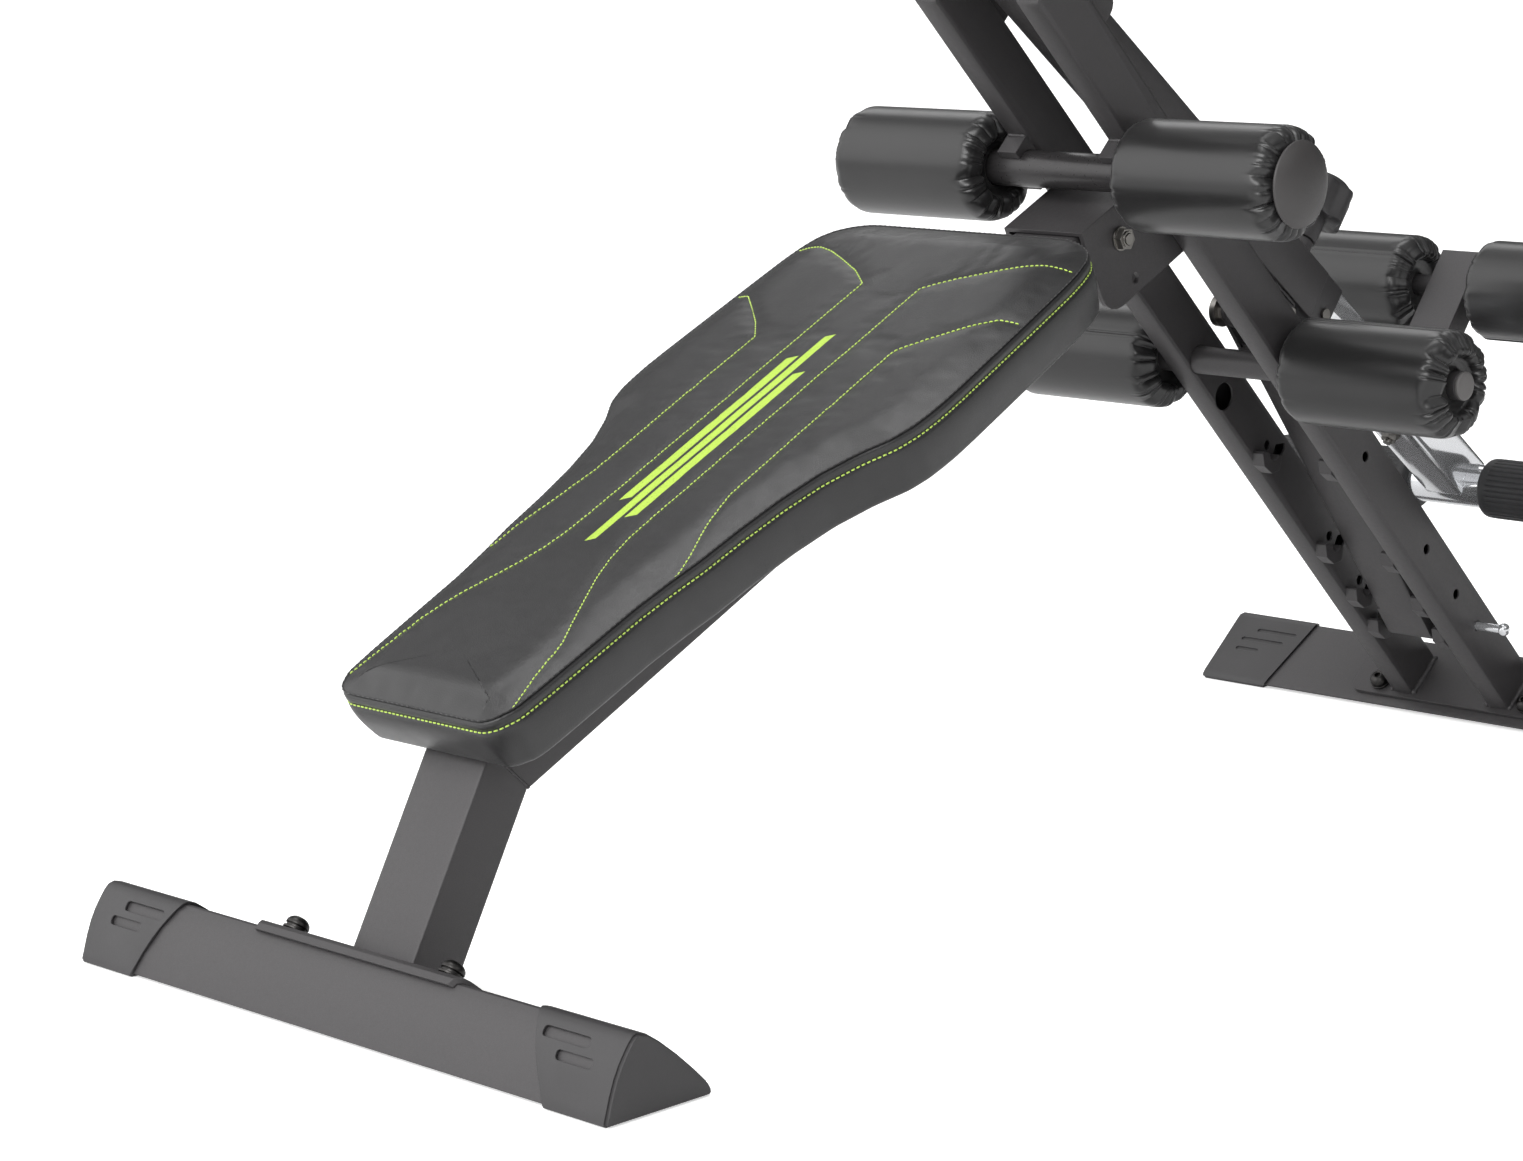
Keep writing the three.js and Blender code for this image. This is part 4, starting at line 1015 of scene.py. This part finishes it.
def top_relief(s, y, inset):
    """Height of the top panel over its nominal plane."""
    across = abs(y) / max(1.0, float(half_width(s)))
    distance = seam_distance(s, y)
    groove = -.60 * math.exp(-(distance / 1.5) ** 2) - .42 * math.exp(-(distance / 6.0) ** 2)
    crown = 1.6 * (1 - across ** 2.4)
    edge_share = min(1.0, max(0.0, inset) / 46.0)
    edge_roll = -8.6 * (1 - edge_share) ** 2.2
    slack = .22 * math.sin(s * .043 + 2.2 * math.sin(y * .031)) * math.sin(y * .052 + s * .017)
    puckers = .10 * math.exp(-(distance / 9) ** 2) * math.sin(s * .41 + y * .2)
    wrinkles = slack + puckers
    return ((crown + wrinkles - .6) * min(1.0, max(0.0, inset) / 30.0)
            + groove * min(1.0, max(0, inset) / 4.0) + edge_roll)


def pad_rows(count, inner):
    """Rings of s, y, height: underside, side, rolled edge, then inner rings to the spine."""
    loop = outline(count)
    low_end = smoothstep(-loop[0], -(PAD_START + 40), -PAD_START)
    depth = np.hypot(loop[0] - spine(loop), loop[1])

    def side_row(inset, height):
        # The side leans in toward the bottom, most at the low end.
        drop = min(1.0, max(0.0, (BAND_SEAM - height) / (BAND_SEAM - PAD_BOTTOM + HEM)))
        lean = drop ** 1.25 * (5.0 + 6.5 * low_end)
        return with_height(ring_at(loop, inset + lean), height)

    def top_row(inset, share=0):
        ring = ring_at(loop, inset, share)
        heights = [PAD_TOP + top_relief(s, y, reach)
                   for s, y, reach in zip(*ring, inset + share * depth)]
        return with_height(ring, heights)

    rows = [with_height(ring_at(loop, ROLL_INSET, share), UNDERSIDE + .05)
            for share in np.linspace(1, 0.2, 9)]
    rows += [side_row(inset, height) for inset, height in PAD_SIDE]
    rows += [top_row(inset) for inset in ROLLED_EDGE_INSETS]
    rows += [top_row(ROLL_INSET, i / inner) for i in range(inner + 1)]
    return np.array(rows)


def bench_mesh(rows, name, material, replaced=(), rise=None):
    """Mesh from rings in the bench frame; it keeps those coordinates as an attribute."""
    ring_count, count, _ = rows.shape
    flat = rows.reshape(-1, 3).copy()
    if rise is not None:
        flat[:, 2] += rise(flat)
    mesh = bpy.data.meshes.new(name)
    mesh.from_pydata([BENCH(*point) for point in flat], [],
                     ring_faces(ring_count, count, wrap=False))
    attribute = mesh.attributes.new("bench_sy", "FLOAT_VECTOR", "POINT")
    attribute.data.foreach_set("vector", flat.astype(np.float32).ravel())
    edit = bmesh.new()
    edit.from_mesh(mesh)
    bmesh.ops.remove_doubles(edit, verts=edit.verts, dist=2e-5)
    bmesh.ops.recalc_face_normals(edit, faces=edit.faces)
    if edit.calc_volume(signed=True) < 0:
        bmesh.ops.reverse_faces(edit, faces=edit.faces)
    edit.to_mesh(mesh)
    edit.free()
    shade_smooth(mesh)
    mesh.materials.append(material)
    obj = add_object(name, mesh)
    register(obj, "bench", replaced)
    return obj


def apply_modifier(obj, kind, **settings):
    modifier = obj.modifiers.new("shape", kind)
    for name, value in settings.items():
        setattr(modifier, name, value)
    bpy.context.view_layer.objects.active = obj
    obj.select_set(True)
    bpy.ops.object.modifier_apply(modifier=modifier.name)


# ---------------------------------------------------------------- bench pad: cloth
CLOTH_FRAMES = 20
RISE_SHARE = 0.36            # part of the simulated swell that is used
RISE_LIMITS = (-0.5, 0.8)    # the panel is taut, so the swell is capped


def settle_cloth(obj):
    """Swells the object under pressure, pinned by its "hold" group."""
    modifier = obj.modifiers.new("cloth", "CLOTH")
    cloth = modifier.settings
    cloth.quality = 5
    cloth.mass = .35
    cloth.tension_stiffness = 18
    cloth.compression_stiffness = 18
    cloth.shear_stiffness = 8
    cloth.bending_stiffness = .6
    cloth.use_pressure = True
    cloth.uniform_pressure_force = 4.0
    cloth.shrink_min = -.018
    cloth.vertex_group_mass = "hold"
    cloth.pin_stiffness = 1
    cloth.effector_weights.gravity = 0
    modifier.collision_settings.use_collision = False
    modifier.collision_settings.use_self_collision = False
    modifier.point_cache.frame_start = 1
    modifier.point_cache.frame_end = CLOTH_FRAMES
    for number in range(1, CLOTH_FRAMES + 1):
        scene.frame_set(number)


def cloth_rise():
    """Settles a coarse pad and returns the top panel's rise as a function of points."""
    coarse = bench_mesh(pad_rows(240, inner=16), "sim_pad", MATERIALS["dark"])
    coarse.parent = None
    apply_modifier(coarse, "REMESH", mode="VOXEL", voxel_size=.0052)
    rest = BENCH.local(vertex_array(coarse))
    group = coarse.vertex_groups.new(name="hold")
    for i, (s, y, height) in enumerate(rest):
        if height < EDGE_SEAM + 2 or seam_distance(s, y) < 3.6:
            group.add([i], 1.0, "REPLACE")
    settle_cloth(coarse)
    evaluated = coarse.evaluated_get(bpy.context.evaluated_depsgraph_get())
    settled = np.array([vertex.co for vertex in evaluated.to_mesh().vertices])
    evaluated.to_mesh_clear()
    swell = (BENCH.local(settled)[:, 2] - rest[:, 2]) * RISE_SHARE
    on_top = rest[:, 2] > PAD_TOP - 10
    swell = np.clip(swell, *RISE_LIMITS)[on_top]
    tree = plan_tree(rest[on_top])
    scene.frame_set(1)
    bpy.data.objects.remove(coarse)

    def rise(points):
        result = np.zeros(len(points))
        for i, (s, y, height) in enumerate(points):
            if height > EDGE_SEAM + 1.0:
                near = tree.find_n((s, y, 0), 6)
                weights = [1 / (distance + 1.5) for _, _, distance in near]
                total = sum(swell[j] * weight for (_, j, _), weight in zip(near, weights))
                result[i] = total / sum(weights) * min(1, (height - EDGE_SEAM - 1) / 4)
        return result

    return rise


# ---------------------------------------------------------------- stitches
STITCH_SIDES = 8
STITCH_LENGTH = .0036    # metres
STITCH_SINK = .25        # share of the radius that sinks into the surface
# One stitch: share of its length, fullness.
STITCH_PROFILE = [(0, 0), (.12, .55), (.3, .92), (.5, 1.0), (.7, .92), (.88, .55), (1, 0)]


def surface_caster(obj):
    """Function from a ray's origin and direction to the hit point and normal."""
    tree = BVHTree.FromPolygons([vertex.co for vertex in obj.data.vertices],
                                [polygon.vertices[:] for polygon in obj.data.polygons])
    return lambda origin, direction: tree.ray_cast(origin, direction)[:2]


def stitch_faces(start):
    """Faces of one stitch whose first point has index start: a tube closed to points."""
    middle = len(STITCH_PROFILE) - 2
    last_ring = start + 1 + (middle - 1) * STITCH_SIDES
    tip = last_ring + STITCH_SIDES
    after = [(j + 1) % STITCH_SIDES for j in range(STITCH_SIDES)]
    faces = [(start, start + 1 + after[j], start + 1 + j) for j in range(STITCH_SIDES)]
    faces += [tuple(start + 1 + i for i in face)
              for face in ring_faces(middle, STITCH_SIDES, wrap=False)]
    # Each quad starts one corner on, which sets how it is split.
    faces += [(tip, last_ring + j, last_ring + after[j]) for j in range(STITCH_SIDES)]
    return faces


def stitches(name, rays, caster, step, radius, material, body, length=STITCH_LENGTH):
    """Short threads along the curve where the rays hit; step, radius, length in metres."""
    hits = [hit for hit in (caster(*ray) for ray in rays) if hit[0] is not None]
    places = [place for place, _ in hits]
    travelled = [0]
    for i in range(1, len(places)):
        travelled.append(travelled[-1] + (places[i] - places[i - 1]).length)
    segment = 0

    def at(distance):
        nonlocal segment
        while segment < len(travelled) - 2 and travelled[segment + 1] < distance:
            segment += 1
        while segment > 0 and travelled[segment] > distance:
            segment -= 1
        start, end = travelled[segment], travelled[segment + 1]
        share = (distance - start) / max(1e-9, end - start)
        normal = hits[segment][1].lerp(hits[segment + 1][1], share).normalized()
        return places[segment].lerp(places[segment + 1], share), normal

    points, faces = [], []
    distance = 0.0
    while distance + length < travelled[-1]:
        start, start_normal = at(distance)
        end, end_normal = at(distance + length)
        normal = (start_normal + end_normal).normalized()
        cross = (end - start).normalized().cross(normal).normalized()
        faces += stitch_faces(len(points))
        for share, fullness in STITCH_PROFILE:
            lift = -STITCH_SINK * radius + (fullness - .35) * radius * .9
            centre = start.lerp(end, share) + normal * lift
            if share in (0, 1):
                points.append(centre)
                continue
            size = radius * (.55 + .45 * fullness)
            for j in range(STITCH_SIDES):
                angle = 2 * math.pi * j / STITCH_SIDES
                spoke = normal * math.cos(angle) + cross * math.sin(angle)
                points.append(centre + spoke * size)
        distance += step
    add_mesh(name, points, faces, MATERIALS[material], body)


# ---------------------------------------------------------------- bench pad: build
# Dust cover from the spine out along its lower face and back on top: share, height.
DUST_COVER_ROWS = [
    (1, -.35), (.8, -.4), (.6, -.3), (.4, -.45), (.2, -.35), (.06, -.4), (0, -.35),
    (0, .4), (.5, .4), (1, .4)]


def dust_cover_rows():
    loop = outline(360)
    ripple = np.array([math.sin(j * .9) for j in range(len(loop[0]))])
    return np.array([
        with_height(ring_at(loop, 24, share),
                    UNDERSIDE + height + .12 * ripple * (share < .3))
        for share, height in DUST_COVER_ROWS])


def build_pad():
    rise = cloth_rise()
    pad = bench_mesh(pad_rows(720, inner=44), "pad_cover", MATERIALS["pad_vinyl"],
                     ("pad", "pad_board"), rise)
    caster = surface_caster(pad)
    up = BENCH.up()
    bench_mesh(dust_cover_rows(), "pad_dust_cover", MATERIALS["felt"])
    for seam_name, seam in SEAMS.items():
        for side_name, side in SIDES:
            rays = [(BENCH(s, y * side, PAD_TOP + 30), -up)
                    for s, y in seam if y < half_width(s) - 1.0]
            stitches(f"stitch_{seam_name}_{side_name}", rays, caster, step=.0044,
                     radius=.00062, material="lime", body="bench")
    loop = outline(1400)
    rays = [(BENCH(s, y, PAD_BOTTOM - 60), up) for s, y in zip(*ring_at(loop, 27))]
    stitches("pad_staples", rays, caster, step=.032, radius=.0007,
             material="fastener_zinc", body="bench", length=.010)

    def rays_round(height):
        rays = []
        for s, y, normal_s, normal_y in zip(*loop):
            origin = BENCH(s + normal_s * 40, y + normal_y * 40, height)
            rays.append((origin, (BENCH(s, y, height) - origin).normalized()))
        return rays

    stitches("stitch_band_lime", rays_round(BAND_SEAM - 1.2), caster, step=.0045,
             radius=.00066, material="lime", body="bench")
    stitches("stitch_edge_black", rays_round(EDGE_SEAM + 1.7), caster, step=.0056,
             radius=.00050, material="dark", body="bench")


build_pad()


# ---------------------------------------------------------------- hip cushions
HIP_SEAM = .62               # height of the seam as a share of the cushion's
HIP_STITCH_LIFT = 2.2        # the stitches run this far above the seam
HIP_CORNER_POWER = .28       # squareness of the loop the stitch rays start from


def hip_rays(centre, half, height):
    """Rays from a rounded-square loop in toward the cushion."""
    rays = []
    for k in range(720):
        angle = 2 * math.pi * k / 720
        along, across = (
            (half[axis] + 20) * math.copysign(abs(turn) ** HIP_CORNER_POWER, turn)
            for axis, turn in enumerate((math.cos(angle), math.sin(angle))))
        x, y = centre[0] + along, centre[1] + across
        origin = TUBE(x, y, height)
        target = TUBE(centre[0] + (x - centre[0]) * .3, centre[1] + (y - centre[1]) * .3, height)
        rays.append((origin, (target - origin).normalized()))
    return rays


def hip_pad(node):
    """Cushion remeshed and softened, with a crowned top and a stitched groove."""
    mesh = NODES[node].data.copy()
    obj = add_object(node + "_cover", mesh)
    edit = bmesh.new()
    edit.from_mesh(mesh)
    bmesh.ops.remove_doubles(edit, verts=edit.verts, dist=1e-6)
    edit.to_mesh(mesh)
    edit.free()
    apply_modifier(obj, "REMESH", mode="VOXEL", voxel_size=.0028)
    apply_modifier(obj, "SMOOTH", factor=.5, iterations=14)
    points = TUBE.local(vertex_array(obj))
    low, high = points.min(0), points.max(0)
    centre, half = (low + high) / 2, (high - low) / 2
    along = np.abs(points[:, 0] - centre[0]) / half[0]
    across = np.abs(points[:, 1] - centre[1]) / half[1]
    height = (points[:, 2] - low[2]) / (high[2] - low[2])
    outward_push = (-1.6 * np.exp(-((height - HIP_SEAM) / .035) ** 2)
                    + .9 * np.exp(-((height - .36) / .2) ** 2) - 1.0)
    outward_push = np.where(np.maximum(along, across) > .8, outward_push, 0)
    from_centre = points[:, :2] - centre[:2]
    distance = np.maximum(1e-6, np.hypot(from_centre[:, 0], from_centre[:, 1]))
    points[:, 2] += (5.5 * np.clip(1 - along ** 2.4, 0, 1) * np.clip(1 - across ** 2.4, 0, 1)
                     * smoothstep(height, .55, .95))
    for axis in (0, 1):
        points[:, axis] += from_centre[:, axis] / distance * outward_push
    for vertex, point in zip(obj.data.vertices, points):
        vertex.co = TUBE(*point)
    obj.data.materials.clear()
    obj.data.materials.append(MATERIALS["roll_vinyl"])
    shade_smooth(obj.data)
    register(obj, "tube", (node,))
    seam_height = low[2] + HIP_SEAM * (high[2] - low[2])
    stitches(node + "_stitch", hip_rays(centre, half, seam_height + HIP_STITCH_LIFT),
             surface_caster(obj), step=.0045, radius=.0006, material="lime", body="tube")


for side_name, _ in SIDES:
    hip_pad("hip_pad_" + side_name)


# ---------------------------------------------------------------- grips and knob
GRIP_BORE = 13.1
RIDGE_PITCH = 6.4
RIDGE = [(15.3, 0), (15.9, .8), (16.3, 2), (16.3, 3.4), (15.9, 4.6), (15.3, 5.2)]
KNOB_HEAD = 39           # height of the knob's lobed head
LOBES = 6
LOBE_DEPTH = 2.6
LOBED_ROWS = {6: .6, 7: 1, 8: 1, 9: 1, 10: 1, 11: .6}    # profile row: share of the depth


def tube_base(node):
    """Centre of a node's lower end, in metres, and its height square to the tube."""
    points = TUBE.local(vertex_array(NODES[node]))
    low, high = points.min(0), points.max(0)
    return TUBE((low[0] + high[0]) / 2, (low[1] + high[1]) / 2, low[2]), high[2] - low[2]


def grip(node):
    base, height = tube_base(node)
    profile = [(GRIP_BORE, 0), (16.4, 0), (17.4, 1.2), (17.5, 4.2), (16.4, 5.6)]
    ridge_start = 8.0
    while ridge_start < height - 12:
        profile += [(radius, ridge_start + along) for radius, along in RIDGE]
        ridge_start += RIDGE_PITCH
    profile += [
        (16.9, height - 8), (17, height - 5), (16.4, height - 2.4), (14.6, height - .7),
        (10, height), (0.3, height), (0.3, height - 10.4), (GRIP_BORE, height - 10.5)]
    lathe(node, "_ridged", profile, base, TUBE.up(), "grip_rubber",
          segments=80, sharp=60)


def knob_lobes(row, radius, angle):
    return radius + LOBE_DEPTH * math.cos(LOBES * angle) * LOBED_ROWS.get(row, 0)


def pull_knob():
    base, height = tube_base("pull_knob")
    head = height - KNOB_HEAD
    profile = [
        (0.3, 0), (4.7, 0), (4.7, head - 23.8), (12.6, head - 23.6), (13, head - 23),
        (13, head + .2), (24.4, head + .2), (26.4, head + 1.6), (27, head + 4),
        (27, head + 30), (26.2, head + 33.4), (24, head + 35.4), (22.6, head + 36),
        (22.2, head + 38), (20.8, head + KNOB_HEAD), (0.3, head + KNOB_HEAD)]
    lathe("pull_knob", "_moulded", profile, base, TUBE.up(), "cap_plastic",
          segments=144, solid=True, sharp=35, shape=knob_lobes)


for side_name, _ in SIDES:
    grip("grip_" + side_name)
pull_knob()


# ---------------------------------------------------------------- turned pins
def lock_pin():
    """Pin with a rounded head at its -y end."""
    low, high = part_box("lock_pin")
    centre = (low + high) / 2
    tip, head = -high.y * 1000, -low.y * 1000
    profile = [
        (0.2, tip), (3.4, tip + .3), (4.2, tip + 1.2), (4.2, head - 9), (4.2, head - 8),
        (5.6, head - 7.8), (6.0, head - 6.6), (6.2, head - 5), (6.0, head - 3.2),
        (5.0, head - 1.6), (3.4, head - .5), (0.2, head)]
    lathe("lock_pin", "_turned", profile, Vector((centre.x, 0, centre.z)), (0, -1, 0),
          "chrome_tube", segments=64, solid=True, sharp=40)


def strut_foot_pin():
    centre, half = box_span("strut_foot_pin")
    profile = [(0.2, -half), (4.8, -half), (6, -half + 1.2), (6, half - 1.2), (4.8, half),
               (0.2, half)]
    lathe("strut_foot_pin", "_turned", profile, centre, (0, 1, 0), "fastener_zinc",
          segments=64, solid=True)


lock_pin()
strut_foot_pin()


# ---------------------------------------------------------------- floor (metres from here on)
def build_floor():
    """Pale floor that also glows, mostly where the camera sees it directly."""
    half, level = 30, -.0005
    mesh = bpy.data.meshes.new("floor")
    mesh.from_pydata([(-half, -half, level), (half, -half, level), (half, half, level),
                      (-half, half, level)], [], [(0, 1, 2, 3)])
    floor = add_object("floor", mesh)
    skin = Skin("floor")
    color = skin.ramp(skin.noise(scale=3, detail=2), (0, (.86,) * 3), (1, (.9,) * 3))
    seen = skin.node("ShaderNodeLightPath").outputs["Is Camera Ray"]
    skin.set(Base_Color=color, Roughness=.9, Specular_IOR_Level=.05, Emission_Color=WHITE,
             Emission_Strength=skin.math("MULTIPLY_ADD", seen, .52, .06))
    mesh.materials.append(skin.material)


# ---------------------------------------------------------------- world
def build_world():
    """A studio of soft panels for light and reflections; the camera itself sees white."""
    world = bpy.data.worlds.new("w")
    scene.world = world
    world.use_nodes = True
    sky = Graph(world.node_tree)
    background = world.node_tree.nodes["Background"]
    background.inputs[1].default_value = 1.0
    view = sky.node("ShaderNodeTexCoord").outputs["Generated"]
    x, _, z = sky.node("ShaderNodeSeparateXYZ", Vector=view).outputs

    # Soft ceiling, dimmer toward +x and in a gap beside the overhead softbox.
    ceiling = sky.map_range(z, (.15, .9), (.12, .80))
    ceiling = sky.math("MULTIPLY", ceiling, sky.map_range(x, (.05, .42), (1.0, .38)))
    gap = sky.map_range(sky.dot(view, (.18, .53, .83)), (.955, .992), (1.0, .25))
    ceiling = sky.math("MULTIPLY", ceiling, gap)

    # Glow from the -x side.
    toward_front = sky.math("MULTIPLY", x, -1.0)
    front = sky.math("MULTIPLY", sky.map_range(toward_front, (.35, .95), (0, .85)),
                     sky.map_range(z, (-.1, .25), (.5, 1.0)))

    # Small softbox overhead, and a tall one on the far side toward -x.
    overhead = sky.map_range(sky.dot(view, (.11, .22, .97)), (.95, .99), (0, 3.4))
    behind = sky.map_range(sky.dot(view, (-.60, .78, .20)), (.55, .95), (0, 1.35))
    behind = sky.math("MULTIPLY", behind, sky.map_range(z, (-.3, .08), (.4, 1.0)))

    total = sky.math("ADD", ceiling, front)
    for panel in (overhead, behind):
        total = sky.math("ADD", total, panel)
    grey = sky.node("ShaderNodeCombineColor")
    for socket in grey.inputs[:3]:
        sky.connect(socket, total)
    seen = sky.node("ShaderNodeLightPath").outputs["Is Camera Ray"]
    sky.connect(background.inputs[0], sky.mix(seen, grey.outputs[0], WHITE))


# ---------------------------------------------------------------- lights and camera
LIGHT_TARGET = (0, 0, .4)
LIGHTS = [    # name, location, size, watts
    ("key", (-3.2, -.8, 2.6), (2.4, 2.4), 86),
    ("rim", (2.4, 2.4, 2.8), (2.0, 1.0), 12),
    ("fill", (.6, -3.4, 2.4), (2.4, 1.2), 12),
]


def area_light(name, location, size, power):
    light = bpy.data.lights.new(name, "AREA")
    light.shape = "RECTANGLE"
    light.size, light.size_y = size
    light.energy = power
    obj = add_object(name, light)
    obj.location = location
    direction = Vector(LIGHT_TARGET) - Vector(location)
    obj.rotation_euler = direction.to_track_quat("-Z", "Y").to_euler()


def build_camera():
    data = bpy.data.cameras.new("cam")
    camera = add_object("cam", data)
    data.sensor_fit = "HORIZONTAL"
    data.sensor_width = 36
    data.lens = 89.955
    data.clip_start = .05
    data.clip_end = 100
    x, y, z = -1.6633 - FRONT_EDGE, -2.0986, .8295
    turn, rise, roll = (math.radians(degrees) for degrees in (-45.3244, 10.5369, -.7742))
    back = Vector((math.sin(turn) * math.cos(rise), -math.cos(turn) * math.cos(rise),
                   math.sin(rise)))
    level_right = Vector((math.cos(turn), math.sin(turn), 0))
    level_up = back.cross(level_right)
    right = level_right * math.cos(roll) + level_up * math.sin(roll)
    up = -level_right * math.sin(roll) + level_up * math.cos(roll)
    camera.matrix_world = Matrix((
        (right.x, up.x, back.x, x), (right.y, up.y, back.y, y), (right.z, up.z, back.z, z),
        (0, 0, 0, 1)))
    scene.camera = camera


build_floor()
build_world()
for settings in LIGHTS:
    area_light(*settings)
build_camera()
scene.view_settings.view_transform = "Standard"
scene.view_settings.exposure = 0.0
